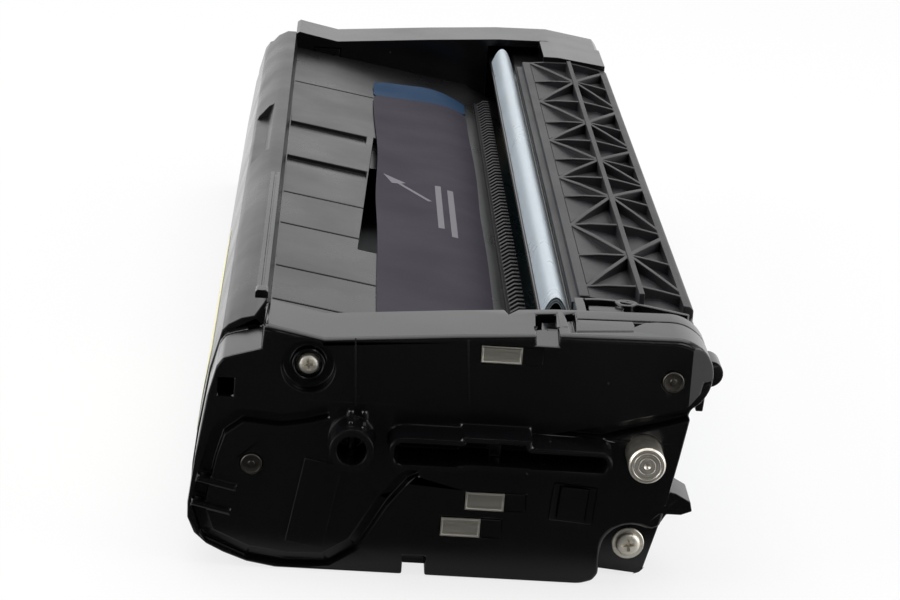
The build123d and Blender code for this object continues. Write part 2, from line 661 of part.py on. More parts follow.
# Hopper lid: ridge, sloping grooved wall and the lip over the developer roller
with BuildPart() as hopper_lid:
    with BuildSketch(across(HOPPER_END)):
        section(LID_LEFT + LID_TOP + LID_UNDER)
    extrude(amount=2 * HOPPER_END)
    for station in GROOVES:
        with BuildSketch(across(station + GROOVE / 2)):
            section(GROOVE_BAND)
        extrude(amount=GROOVE, mode=Mode.SUBTRACT)
    with BuildSketch(across(SCOOP_FAR)):
        section(SCOOP)
    extrude(amount=SCOOP_FAR - SCOOP_NEAR, mode=Mode.SUBTRACT)
    with Locations(*[lid_point(-DOCTOR_SCREW_BACK, 0, y) for y in doctor_screw_stations]):
        Cylinder(SCREW_R + FIT, DOCTOR_SCREW_DEPTH, mode=Mode.SUBTRACT)
finish(hopper_lid, "hopper_lid")

# Rail and end clip on the ridge
with BuildPart() as ridge_rail:
    rail_near = -HOPPER_END + CLIP_LENGTH
    with Locations((RAIL_X, (rail_near + RAIL_FAR) / 2, RIDGE_TOP + RAIL_HEIGHT / 2)):
        Box(RAIL_WIDTH, RAIL_FAR - rail_near, RAIL_HEIGHT)
    with Locations((RAIL_X, (rail_near + RAIL_FAR) / 2, RIDGE_TOP + RAIL_HEIGHT)):
        Box(RAIL_GROOVE, RAIL_FAR - rail_near, RAIL_HEIGHT, mode=Mode.SUBTRACT)
finish(ridge_rail, "ridge_rail")

with BuildPart() as rail_clip:
    with Locations((RAIL_X, -HOPPER_END + CLIP_LENGTH / 2, RIDGE_TOP + CLIP_HEIGHT / 2)):
        Box(CLIP_WIDTH, CLIP_LENGTH, CLIP_HEIGHT)
    chamfer(rail_clip.edges().filter_by(Axis.Y).group_by(Axis.Z)[-1], CLIP_CHAMFER)
finish(rail_clip, "rail_clip")

# Toner fill plug in the hopper's near end wall
with BuildPart() as fill_plug:
    shaft(FILL_PORT, FILL_R - FIT, -HOPPER_END, -HOPPER_END + END_WALL)
    shaft(FILL_PORT, FILL_R + WALL, -HOPPER_END - FILL_FLANGE, -HOPPER_END)
finish(fill_plug, "fill_plug")

# Near end cap, the contact end
with BuildPart() as near_end_cap:
    cap_shell(-1)
    fillet(near_end_cap.edges().group_by(Axis.Y)[0]
           .filter_by(lambda edge: edge.center().Z > CAP_END[1] and edge.center().X > CAP_EDGE_LEFT),
           CAP_EDGE_R)
    boss_near, boss_far = span_of(-1, CAP_FACE, CAP_RIM)
    for center, radius in ((SCREW_WELL, WELL_R + WELL_WALL), (LEFT_RIVET, POST_R), (RIGHT_RIVET, POST_R)):
        shaft(center, radius, boss_near, boss_far)
    shaft(RING_BOSS, RING_BOSS_R, NEAR_FACE - BOSS_REACH, NEAR_FACE)
    with BuildSketch(across(NEAR_FACE)):
        guide_section()
    extrude(amount=BOSS_REACH)
    with BuildSketch(across(NEAR_FACE + GUIDE_SINK)):
        guide_section()
        offset(amount=-GUIDE_WALL, mode=Mode.REPLACE)
    extrude(amount=BOSS_REACH + GUIDE_SINK, mode=Mode.SUBTRACT)
    bore(RING_BOSS, RING_BOSS_BORE, NEAR_FACE - BOSS_REACH, NEAR_FACE + GUIDE_SINK)
    with BuildSketch(across(NEAR_FACE + GUIDE_SINK)):
        box_section(RING_BOSS[0] - RING_BAR / 2, RING_BOSS[0] + RING_BAR / 2,
                    RING_BOSS[1] - RING_BOSS_BORE, RING_BOSS[1] + RING_BOSS_BORE)
        box_section(*GUIDE_RIB, GUIDE_PARTS[1][2], GUIDE_PARTS[1][3])
    extrude(amount=BOSS_REACH / 2)
    with BuildSketch(across(NEAR_FACE + CHANNEL_DEPTH)):
        channel_section()
    extrude(amount=CHANNEL_DEPTH, mode=Mode.SUBTRACT)
    with BuildSketch(across(NEAR_FACE + UNIT_GROOVE_DEPTH)):
        section(UNIT_GROOVE)
    extrude(amount=UNIT_GROOVE_DEPTH, mode=Mode.SUBTRACT)
    with BuildSketch(across(NEAR_FACE + CAP_RIM)):
        for left, right, low, high in CAP_NOTCHES:
            box_section(left, right, low, high)
    extrude(amount=CAP_RIM, mode=Mode.SUBTRACT)
    with BuildSketch(across(NEAR_FACE + CHANNEL_DEPTH)):
        with Locations(*CROSS_RIBS):
            Rectangle(*CROSS_RIB, rotation=CROSS_RIB_TURN)
    extrude(amount=CHANNEL_DEPTH + CROSS_RIB_PROUD)
    with BuildSketch(across(NEAR_FACE + CONTACT_T - CONTACT_PROUD)):
        for x, z, width, height in CONTACTS.values():
            with Locations((x, z)):
                Rectangle(width + 2 * FIT, height + 2 * FIT)
            with Locations((x + (width + POCKET_WIDTH) / 2, z)):
                Rectangle(POCKET_WIDTH, height)
        with Locations(PLUG):
            Rectangle(*PLUG_FRAME, rotation=PLUG_TURN)
    extrude(amount=CONTACT_T, mode=Mode.SUBTRACT)
    with BuildSketch(across(NEAR_FACE + PLUG_DEPTH)):
        with Locations(PLUG):
            Rectangle(PLUG_SIZE[0] + 2 * FIT, PLUG_SIZE[1] + 2 * FIT, rotation=PLUG_TURN)
    extrude(amount=PLUG_DEPTH, mode=Mode.SUBTRACT)
    bore(SCREW_WELL, WELL_R, NEAR_FACE, NEAR_FACE + WELL_DEPTH)
    shaft(SCREW_WELL, WELL_RING_R, NEAR_FACE + WELL_DEPTH - WELL_RING_HEIGHT, NEAR_FACE + WELL_DEPTH)
    bore(SCREW_WELL, WELL_RING_R - WELL_RING_WALL, NEAR_FACE, NEAR_FACE + WELL_DEPTH)
    bore(SCREW_WELL, SCREW_R + FIT, NEAR_FACE, PLATE_NEAR)
    bore(drum_axis, PIN_R + FIT, NEAR_FACE, PLATE_NEAR)
    bore(LEFT_RIVET, RIVET_R + FIT, NEAR_FACE, PLATE_NEAR)
    bore(RIGHT_RIVET, RIVET_R + FIT, NEAR_FACE, PLATE_NEAR)
    with BuildSketch(across(NEAR_FACE)):
        for x in RING_RIBS:
            box_section(x - RING_RIB[0] / 2, x + RING_RIB[0] / 2, RING_RIB_LOW, RING_RIB_LOW + RING_RIB[1])
    extrude(amount=RING_RIB_REACH)
    cap_groove(*LEFT_SEAM)
    cap_groove(*RIM_SEAM)
    with Locations(SEAM_NOTCH):
        Box(*SEAM_NOTCH_SIZE, mode=Mode.SUBTRACT)
    with BuildSketch(Plane.XY.offset(TOP_OPENING_LOW)):
        for opening in TOP_OPENINGS:
            section(opening)
    extrude(amount=BOSS_REACH, mode=Mode.SUBTRACT)
    with BuildSketch(Plane.XY.offset(PAD_GAP_LOW)):
        section(PAD_GAP)
    extrude(amount=BOSS_REACH, mode=Mode.SUBTRACT)
    with BuildSketch(Plane.XY.offset(REAR_NOTCH_LOW)):
        section(REAR_NOTCH)
    extrude(amount=BOSS_REACH, mode=Mode.SUBTRACT)
    with BuildSketch(Plane.YZ.offset(RAMP_LEFT)):
        section(RAMP)
    extrude(amount=RAMP_RIGHT - RAMP_LEFT, mode=Mode.SUBTRACT)
    for right, low, high in FACET_BANDS:
        with BuildSketch(Plane.XY.offset(low)):
            section([(FACET_LEFT, NEAR_FACE), (FACET_LEFT, NEAR_FACE - GAP), (right, NEAR_FACE - GAP),
                     (right, NEAR_FACE + FACET_SLOPE * (right - FACET_LEFT))])
        extrude(amount=high - low, mode=Mode.SUBTRACT)
finish(near_end_cap, "near_end_cap")

# Contact plates let into the near face
for name, (x, z, width, height) in CONTACTS.items():
    with BuildPart() as contact:
        with BuildSketch(across(NEAR_FACE + CONTACT_T - CONTACT_PROUD)):
            with Locations((x, z)):
                Rectangle(width, height)
        extrude(amount=CONTACT_T)
    finish(contact, name)

with BuildPart() as square_plug:
    with BuildSketch(across(NEAR_FACE + PLUG_DEPTH)):
        with Locations(PLUG):
            Rectangle(*PLUG_SIZE, rotation=PLUG_TURN)
    extrude(amount=PLUG_DEPTH)
finish(square_plug, "square_plug")

# Far end cap, over the gears, with the block that covers the drum side's end
with BuildPart() as far_end_cap:
    cap_shell(1)
    boss_near, boss_far = span_of(1, CAP_FACE, CAP_RIM)
    for center in FAR_SCREWS:
        shaft(center, POST_R, boss_near, boss_far)
    with BuildSketch(across(HALF)):
        section(FAR_SLOPE)
    extrude(amount=CAP_DEPTH, mode=Mode.SUBTRACT)
    with BuildSketch(across(HOPPER_END)):
        section(END_BLOCK)
    extrude(amount=HOPPER_END - COVER_FAR - GAP)
    for center in FAR_SCREWS:
        bore(center, SCREW_HEAD_R + GAP, HALF - FAR_WELL_DEPTH, HALF)
        bore(center, SCREW_R + FIT, CHEEK_FAR, HALF)
    bore(drum_axis, HUB_R + DRIVE_CLEARANCE, CHEEK_FAR, HALF)
finish(far_end_cap, "far_end_cap")

# Drum frame: slot wall, right wall, end cheeks with the ears, webs and decks
with BuildPart() as drum_frame:
    for outline in (SLOT_WALL, RIGHT_WALL):
        with BuildSketch(across(CHEEK_FAR)):
            section(outline)
        extrude(amount=CHEEK_FAR - CHEEK_NEAR)
    for far in (CHEEK_NEAR + CHEEK_WALL, CHEEK_FAR):
        with BuildSketch(across(far)):
            section(CHEEK)
        extrude(amount=CHEEK_WALL)
    for far in (WEB_NEAR + WEB_WALL, WEB_FAR):
        with BuildSketch(across(far)):
            section(WEB)
            disc(drum_axis, DRUM_R + DRUM_CLEARANCE, mode=Mode.SUBTRACT)
            box_section(charge_axis[0] - BUSH_WIDTH / 2 - FIT, charge_axis[0] + BUSH_WIDTH / 2 + FIT,
                        DRUM_Z, CLEANER_TOP - DECK, mode=Mode.SUBTRACT)
        extrude(amount=WEB_WALL)
    for near, far in ((CHEEK_NEAR, WEB_NEAR + WEB_WALL + DECK_REACH), (WEB_FAR - WEB_WALL, CHEEK_FAR)):
        with BuildSketch(across(far)):
            box_section(COVER_LEFT, DECK_RIGHT, CLEANER_TOP - DECK, CLEANER_TOP)
        extrude(amount=far - near)
    with BuildSketch(across(WEB_NEAR + WEB_WALL + DECK_REACH)):
        box_section(*DECK_WALL, CLEANER_TOP, CLEANER_TOP + DECK_WALL_HEIGHT)
    extrude(amount=WEB_NEAR + WEB_WALL + DECK_REACH + HOPPER_END - GAP)
    for near, far in ((WEB_NEAR + WEB_WALL, WEB_NEAR + WEB_WALL + BLADE_BOSS),
                      (WEB_FAR - WEB_WALL - BLADE_BOSS, WEB_FAR - WEB_WALL)):
        with BuildSketch(across(far)):
            box_section(BLADE_BOSS_LEFT, BLADE_BOSS_RIGHT, BLADE_BOSS_LOW, holder_top[1])
        extrude(amount=far - near)
    shaft(EAR_SCREW, POST_R, CHEEK_NEAR, CHEEK_NEAR + EAR_POST)
    shaft(KNOB, KNOB_R, CHEEK_NEAR + GAP, CHEEK_NEAR + GAP + HOOK_DEPTH)
    with BuildSketch(across(CHEEK_NEAR + CHEEK_WALL + HOOK_DEPTH)):
        section(HOOK)
    extrude(amount=CHEEK_WALL + HOOK_DEPTH)
    with BuildSketch(Plane.XY.offset(CLEANER_TOP)):
        with BuildLine():
            Spline(*STRAP)
        trace(line_width=STRAP_WALL)
    extrude(amount=STRAP_HEIGHT)
    with BuildSketch(Plane.XY.offset(CLEANER_TOP)):
        disc(EYELET, EYELET_R)
        disc(EYELET, EYELET_R - STRAP_WALL, mode=Mode.SUBTRACT)
    extrude(amount=STRAP_HEIGHT)
    with Locations((PAD[0], PAD[1], CLEANER_TOP + PAD[4] / 2)):
        Box(PAD[2], PAD[3], PAD[4])
    bore(EAR_SCREW, SCREW_R + FIT, CHEEK_NEAR, CHEEK_NEAR + EAR_POST)
    bore(drum_axis, PIN_R + FIT, CHEEK_NEAR, CHEEK_NEAR + CHEEK_WALL)
    bore(drum_axis, HUB_R + FIT, CHEEK_FAR - CHEEK_WALL, CHEEK_FAR)
    bore(RIGHT_RIVET, RIVET_R + FIT, CHEEK_NEAR, CHEEK_NEAR + CHEEK_WALL)
    bore(FAR_SCREWS[1], SCREW_R + FIT, CHEEK_FAR - CHEEK_WALL, CHEEK_FAR)
    with Locations(*[(blade_screw_x, y, holder_top[1] - BLADE_SCREW_DEPTH / 2)
                     for y in cleaning_screw_stations]):
        Cylinder(SCREW_R + FIT, BLADE_SCREW_DEPTH, mode=Mode.SUBTRACT)
finish(drum_frame, "drum_frame")

# Side plate that carries the drum pin and the ear screw
with BuildPart() as side_plate:
    with BuildSketch(across(CHEEK_NEAR)) as plate_outline:
        section(SIDE_PLATE)
        fillet(plate_outline.vertices(), PLATE_CORNER)
        disc(drum_axis, PIN_R + FIT, mode=Mode.SUBTRACT)
        disc(EAR_SCREW, SCREW_R + FIT, mode=Mode.SUBTRACT)
    extrude(amount=PLATE_WALL)
finish(side_plate, "side_plate")

# Lattice cover over the waste toner chamber
with BuildPart() as lattice_cover:
    with BuildSketch(Plane.XY.offset(COVER_LOW)):
        lattice_section()
    extrude(amount=COVER_HIGH - COVER_LOW)
    with BuildSketch(across(COVER_FAR)):
        section(COVER_ENVELOPE)
    extrude(amount=COVER_FAR - COVER_NEAR, mode=Mode.INTERSECT)
    for outline in (COVER_BED, COVER_BAND, COVER_RIGHT_RIM):
        with BuildSketch(across(COVER_FAR)):
            section(outline)
        extrude(amount=COVER_FAR - COVER_NEAR)
    with BuildSketch(across(COVER_FAR)):
        box_section(COVER_SPINE - RIB / 2, COVER_SPINE + RIB / 2, CLEANER_TOP, COVER_HIGH)
    extrude(amount=COVER_FAR - COVER_NEAR)
finish(lattice_cover, "lattice_cover")

# Drum
with BuildPart() as drum_tube:
    shaft(drum_axis, DRUM_R, ROLL_NEAR, ROLL_FAR)
    bore(drum_axis, DRUM_R - DRUM_TUBE_WALL, ROLL_NEAR, ROLL_FAR)
finish(drum_tube, "drum_tube")

plug_r = DRUM_R - DRUM_TUBE_WALL - FIT
with BuildPart() as drum_flange:
    shaft(drum_axis, DRUM_R, ROLL_NEAR - FLANGE_COLLAR, ROLL_NEAR)
    shaft(drum_axis, plug_r, ROLL_NEAR, ROLL_NEAR + FLANGE_PLUG)
    bore(drum_axis, PIN_R + FIT, ROLL_NEAR - FLANGE_COLLAR, ROLL_NEAR + FLANGE_PLUG)
finish(drum_flange, "drum_flange")

with BuildPart() as drum_gear:
    shaft(drum_axis, plug_r, ROLL_FAR - FLANGE_PLUG, ROLL_FAR)
    shaft(drum_axis, DRUM_R, ROLL_FAR, ROLL_FAR + FLANGE_COLLAR)
    shaft(drum_axis, HUB_R, ROLL_FAR + FLANGE_COLLAR, CHEEK_FAR)
    with BuildSketch(across(gear_far)):
        section(gear_points(drum_axis, DRUM_TEETH, drum_phase))
    extrude(amount=GEAR_WIDTH)
    with BuildSketch(across(CHEEK_FAR + COUPLING_LENGTH)) as coupling_outline:
        with Locations(drum_axis):
            RegularPolygon(COUPLING_R, 3)
        fillet(coupling_outline.vertices(), COUPLING_ROUND)
    extrude(amount=COUPLING_LENGTH)
finish(drum_gear, "drum_gear")

with BuildPart() as drum_pin:
    shaft(drum_axis, PIN_R, NEAR_FACE - BOSS_REACH, ROLL_NEAR + PIN_ENGAGE)
    chamfer(drum_pin.edges().group_by(Axis.Y)[0], PIN_CHAMFER)
finish(drum_pin, "drum_pin")

# Developer roller
with BuildPart() as developer_shaft:
    shaft(developer_axis, DEVELOPER_SHAFT_R, -HOPPER_END - SHAFT_OVERHANG, gear_far)
finish(developer_shaft, "developer_shaft")

with BuildPart() as developer_sleeve:
    shaft(developer_axis, developer_r, ROLL_NEAR, ROLL_FAR)
    bore(developer_axis, DEVELOPER_SHAFT_R + FIT, ROLL_NEAR, ROLL_FAR)
finish(developer_sleeve, "developer_sleeve")

with BuildPart() as developer_gear:
    gear(developer_axis, DEVELOPER_TEETH, developer_phase, DEVELOPER_SHAFT_R + FIT)
finish(developer_gear, "developer_gear")

with BuildPart() as developer_bushes:
    for near, far, collar in ((-HOPPER_END, -HOPPER_END + END_WALL, -HOPPER_END - BUSH_COLLAR),
                              (HOPPER_END - END_WALL, HOPPER_END, HOPPER_END)):
        shaft(developer_axis, DEVELOPER_SHAFT_R + BUSH_WALL, near, far)
        shaft(developer_axis, DEVELOPER_SHAFT_R + 2 * BUSH_WALL, collar, collar + BUSH_COLLAR)
        bore(developer_axis, DEVELOPER_SHAFT_R + FIT, min(near, collar), max(far, collar + BUSH_COLLAR))
finish(developer_bushes, "developer_bushes")

# Supply roller and idler
with BuildPart() as supply_shaft:
    shaft(supply_axis, SUPPLY_SHAFT_R, -HOPPER_END - SUPPLY_OVERHANG, gear_far)
finish(supply_shaft, "supply_shaft")

with BuildPart() as supply_foam:
    shaft(supply_axis, SUPPLY_R, ROLL_NEAR, ROLL_FAR)
    bore(supply_axis, SUPPLY_SHAFT_R + FIT, ROLL_NEAR, ROLL_FAR)
finish(supply_foam, "supply_foam")

with BuildPart() as supply_gear:
    gear(supply_axis, SUPPLY_TEETH, supply_phase, SUPPLY_SHAFT_R + FIT)
finish(supply_gear, "supply_gear")

with BuildPart() as idler_gear:
    gear(idler_axis, IDLER_TEETH, idler_phase, SUPPLY_SHAFT_R + FIT)
finish(idler_gear, "idler_gear")

# Agitators
with BuildPart() as small_agitator:
    shaft(small_axis, AGITATOR_JOURNAL_R, -HOPPER_END - BUSH_COLLAR, gear_far)
    with BuildSketch(across(PADDLE_FAR)):
        with Locations(small_axis):
            Rectangle(2 * SMALL_BLADE_R, PADDLE_T)
            Rectangle(PADDLE_T, 2 * SMALL_BLADE_R)
    extrude(amount=PADDLE_FAR - PADDLE_NEAR)
finish(small_agitator, "small_agitator")

with BuildPart() as small_agitator_gear:
    gear(small_axis, SMALL_AGITATOR_TEETH, small_phase, AGITATOR_JOURNAL_R + FIT)
finish(small_agitator_gear, "small_agitator_gear")

with BuildPart() as main_agitator:
    shaft(main_axis, AGITATOR_JOURNAL_R, -HOPPER_END - BUSH_COLLAR, gear_far)
    with BuildSketch(across(PADDLE_FAR)):
        with Locations(main_axis):
            Rectangle(2 * CARRIER_R, 2 * PADDLE_T)
    extrude(amount=PADDLE_FAR - PADDLE_NEAR)
    with BuildSketch(across(PADDLE_FAR)):
        box_section(main_axis[0], main_axis[0] + MAIN_SHEET_R, main_axis[1] + PADDLE_T,
                    main_axis[1] + CARRIER_R)
    extrude(amount=PADDLE_FAR - PADDLE_NEAR, mode=Mode.SUBTRACT)
finish(main_agitator, "main_agitator")

with BuildPart() as agitator_sheet:
    with BuildSketch(across(PADDLE_FAR)):
        box_section(main_axis[0] + GAP, main_axis[0] + MAIN_SHEET_R, main_axis[1] + PADDLE_T,
                    main_axis[1] + PADDLE_T + SHEET_T)
    extrude(amount=PADDLE_FAR - PADDLE_NEAR)
finish(agitator_sheet, "agitator_sheet")

with BuildPart() as main_agitator_gear:
    gear(main_axis, MAIN_AGITATOR_TEETH, main_phase, AGITATOR_JOURNAL_R + FIT)
finish(main_agitator_gear, "main_agitator_gear")

# Charge roller and its bushes
with BuildPart() as charge_shaft:
    shaft(charge_axis, CHARGE_SHAFT_R, WEB_NEAR - CHARGE_OVERHANG, WEB_FAR + CHARGE_OVERHANG)
finish(charge_shaft, "charge_shaft")

with BuildPart() as charge_rubber:
    shaft(charge_axis, CHARGE_R, ROLL_NEAR, ROLL_FAR)
    bore(charge_axis, CHARGE_SHAFT_R + FIT, ROLL_NEAR, ROLL_FAR)
finish(charge_rubber, "charge_rubber")

with BuildPart() as charge_bushes:
    for far in (WEB_NEAR + WEB_WALL, WEB_FAR):
        with BuildSketch(across(far)):
            box_section(charge_axis[0] - BUSH_WIDTH / 2, charge_axis[0] + BUSH_WIDTH / 2,
                        charge_axis[1] - CHARGE_SHAFT_R - BUSH_FOOT, CLEANER_TOP - DECK - GAP)
            disc(charge_axis, CHARGE_SHAFT_R + FIT, mode=Mode.SUBTRACT)
        extrude(amount=WEB_WALL)
finish(charge_bushes, "charge_bushes")

# Cleaning blade on its steel holder
with BuildPart() as cleaning_holder:
    with BuildSketch(across(WEB_FAR - WEB_WALL - GAP)):
        bar_section(polar(blade_contact, BLADE_LEAN, BLADE_LENGTH - BLADE_LAP), BLADE_LEAN,
                    HOLDER_REACH - BLADE_LENGTH + BLADE_LAP + HOLDER_T, HOLDER_T)
        box_section(holder_top[0] - HOLDER_FLANGE, holder_top[0], holder_top[1],
                    holder_top[1] + HOLDER_T)
    extrude(amount=WEB_FAR - WEB_NEAR - 2 * WEB_WALL - 2 * GAP)
    with Locations(*[(blade_screw_x, y, holder_top[1] + HOLDER_T / 2)
                     for y in cleaning_screw_stations]):
        Cylinder(SCREW_R + FIT, HOLDER_T, mode=Mode.SUBTRACT)
finish(cleaning_holder, "cleaning_holder")

with BuildPart() as cleaning_blade:
    with BuildSketch(across(ROLL_FAR)):
        bar_section(blade_contact, BLADE_LEAN, BLADE_LENGTH, -BLADE_T)
    extrude(amount=ROLL_FAR - ROLL_NEAR)
finish(cleaning_blade, "cleaning_blade")

with BuildPart() as cleaning_screws:
    for above, radius, height in (
            (HOLDER_T + LOW_HEAD / 2, SCREW_HEAD_R, LOW_HEAD),
            ((HOLDER_T - BLADE_SCREW_DEPTH + GAP) / 2, SCREW_R, HOLDER_T + BLADE_SCREW_DEPTH - GAP)):
        with Locations(*[(blade_screw_x, y, holder_top[1] + above) for y in cleaning_screw_stations]):
            Cylinder(radius, height)
finish(cleaning_screws, "cleaning_screws")

# Metering blade on its holder, under the lid's lip
with BuildPart() as metering_holder:
    with BuildSketch(across(ROLL_FAR + GAP)):
        bar_section(lid_section_point(-DOCTOR_BACK, 0), lid_lean, DOCTOR_BACK - DOCTOR_FRONT,
                    -HOLDER_T)
    extrude(amount=ROLL_FAR - ROLL_NEAR + 2 * GAP)
    with Locations(*[lid_point(-DOCTOR_SCREW_BACK, HOLDER_T / 2, y) for y in doctor_screw_stations]):
        Cylinder(SCREW_R + FIT, 2 * HOLDER_T, mode=Mode.SUBTRACT)
finish(metering_holder, "metering_holder")

with BuildPart() as metering_blade:
    with BuildSketch(across(ROLL_FAR)):
        bar_section(lid_section_point(-DOCTOR_BLADE_BACK, HOLDER_T), lid_lean,
                    DOCTOR_BLADE_BACK + DOCTOR_REACH, -METERING_T)
    extrude(amount=ROLL_FAR - ROLL_NEAR)
finish(metering_blade, "metering_blade")

with BuildPart() as metering_screws:
    for below, radius, height in ((HOLDER_T + LOW_HEAD / 2, SCREW_HEAD_R, LOW_HEAD),
                                  ((HOLDER_T - LOW_HEAD) / 2, SCREW_R, HOLDER_T + LOW_HEAD)):
        with Locations(*[lid_point(-DOCTOR_SCREW_BACK, below, y) for y in doctor_screw_stations]):
            Cylinder(radius, height)
finish(metering_screws, "metering_screws")

# Films at the drum and the developer roller
with BuildPart() as recovery_film:
    with BuildSketch(across(ROLL_FAR)):
        box_section(RECOVERY_LEFT, RIGHT_WALL[4][0] - GAP, LIP_Z - FILM_T, LIP_Z)
    extrude(amount=ROLL_FAR - ROLL_NEAR)
finish(recovery_film, "recovery_film")

with BuildPart() as lip_film:
    with BuildSketch(across(ROLL_FAR)):
        box_section(LIP_FILM_X, LIP_FILM_X + FILM_T, HOPPER_RIGHT[4][1],
                    HOPPER_RIGHT[4][1] + LIP_FILM_HEIGHT)
    extrude(amount=ROLL_FAR - ROLL_NEAR)
finish(lip_film, "lip_film")

# Screws and rivets of the end caps
with BuildPart() as cap_screw:
    shaft(SCREW_WELL, SCREW_HEAD_R, NEAR_FACE + WELL_DEPTH - SCREW_HEAD, NEAR_FACE + WELL_DEPTH)
    shaft(SCREW_WELL, SCREW_R, NEAR_FACE + WELL_DEPTH, -HOPPER_END - GAP)
finish(cap_screw, "cap_screw")

with BuildPart() as ear_screw:
    shaft(EAR_SCREW, WASHER_HEAD_R, PLATE_NEAR - SCREW_HEAD, PLATE_NEAR)
    shaft(EAR_SCREW, SCREW_R, PLATE_NEAR, CHEEK_NEAR + EAR_POST - GAP)
    chamfer(ear_screw.edges().group_by(Axis.Y)[0], PIN_CHAMFER)
finish(ear_screw, "ear_screw")

with BuildPart() as far_screws:
    for center, end in zip(FAR_SCREWS, far_screw_ends):
        shaft(center, SCREW_HEAD_R, HALF - FAR_WELL_DEPTH, HALF - FAR_WELL_DEPTH + SCREW_HEAD)
        shaft(center, SCREW_R, end, HALF - FAR_WELL_DEPTH)
finish(far_screws, "far_screws")

with BuildPart() as left_rivet:
    shaft(LEFT_RIVET, RIVET_R, NEAR_FACE - RIVET_PROUD, -HOPPER_END - GAP)
    chamfer(left_rivet.edges().group_by(Axis.Y)[0], PIN_CHAMFER)
finish(left_rivet, "left_rivet")

with BuildPart() as right_rivet:
    shaft(RIGHT_RIVET, RIVET_R, NEAR_FACE - RIVET_PROUD, CHEEK_NEAR + CHEEK_WALL)
    chamfer(right_rivet.edges().group_by(Axis.Y)[0], PIN_CHAMFER)
finish(right_rivet, "right_rivet")

# Tooth strip beside the slot
with BuildPart() as tooth_strip:
    foot = [(TOOTH_LEFT, lip_height(TOOTH_LEFT)), (TOOTH_RIGHT, lip_height(TOOTH_RIGHT))]
    with BuildSketch(across(ROLL_FAR)):
        section(foot + [(x, z + TOOTH_FOOT) for x, z in reversed(foot)])
    extrude(amount=ROLL_FAR - ROLL_NEAR)
    with BuildSketch(across(ROLL_FAR)) as fin:
        section(foot + [(TOOTH_RIGHT, TOOTH_TOP), (TOOTH_CREST, TOOTH_TOP),
                        (TOOTH_LEFT, lip_height(TOOTH_LEFT) + FIT)])
    fins = int((ROLL_FAR - ROLL_NEAR) / TOOTH_PITCH)
    with Locations(*[(0, -TOOTH_PITCH * step, 0) for step in range(fins)]):
        add(extrude(fin.sketch, amount=TOOTH_T, mode=Mode.PRIVATE))
finish(tooth_strip, "tooth_strip")

# Films and the bare label
with BuildPart() as protective_sheet:
    with BuildSketch(across(SHEET_FAR)):
        section(on_lid(SHEET_LEFT, SHEET_RIGHT, FILM_T))
    extrude(amount=SHEET_FAR + HOPPER_END)
finish(protective_sheet, "protective_sheet")

with BuildPart() as pull_tab:
    with BuildSketch(across(SHEET_FAR + TAB_LENGTH)):
        section(on_lid(SHEET_LEFT, SHEET_RIGHT, TAB_T))
    extrude(amount=TAB_LENGTH)
finish(pull_tab, "pull_tab")

with BuildPart() as folded_film:
    with BuildSketch(across(STRIP_FAR)) as fold:
        box_section(strip_left, strip_left + STRIP_WIDTH, SLOT_WALL[1][1],
                    SLOT_WALL[1][1] + STRIP_HEIGHT)
        fillet(fold.vertices().group_by(Axis.Y)[-1], STRIP_WIDTH / 2 - FIT)
        offset(amount=-FOLD_T, mode=Mode.SUBTRACT)
        box_section(strip_left + FOLD_T, strip_left + STRIP_WIDTH - FOLD_T, SLOT_WALL[1][1],
                    SLOT_WALL[1][1] + FOLD_T + FIT, mode=Mode.SUBTRACT)
        box_section(strip_left + (STRIP_WIDTH - FOLD_T) / 2, strip_left + (STRIP_WIDTH + FOLD_T) / 2,
                    SLOT_WALL[1][1], SLOT_WALL[1][1] + STRIP_HEIGHT - FOLD_T / 2)
    extrude(amount=STRIP_FAR - STRIP_NEAR)
finish(folded_film, "folded_film")

with BuildPart() as side_label:
    with BuildSketch(across(LABEL_FAR)):
        section(LABEL_WALL + [(x - LABEL_T, z) for x, z in reversed(LABEL_WALL)])
    extrude(amount=LABEL_FAR - LABEL_NEAR)
finish(side_label, "side_label")
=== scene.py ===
# %% [markdown]
# # Dressing a toner cartridge
# The measured model of the cartridge comes in as a fixed frame. This lesson gives it the look of
# the real object: rounded mould edges, screws with cross slots, films, a label and the finishes.

# %% Load the measured model
import json
from math import atan2, cos, hypot, pi, radians, sin

import bpy
from mathutils import Matrix, Vector

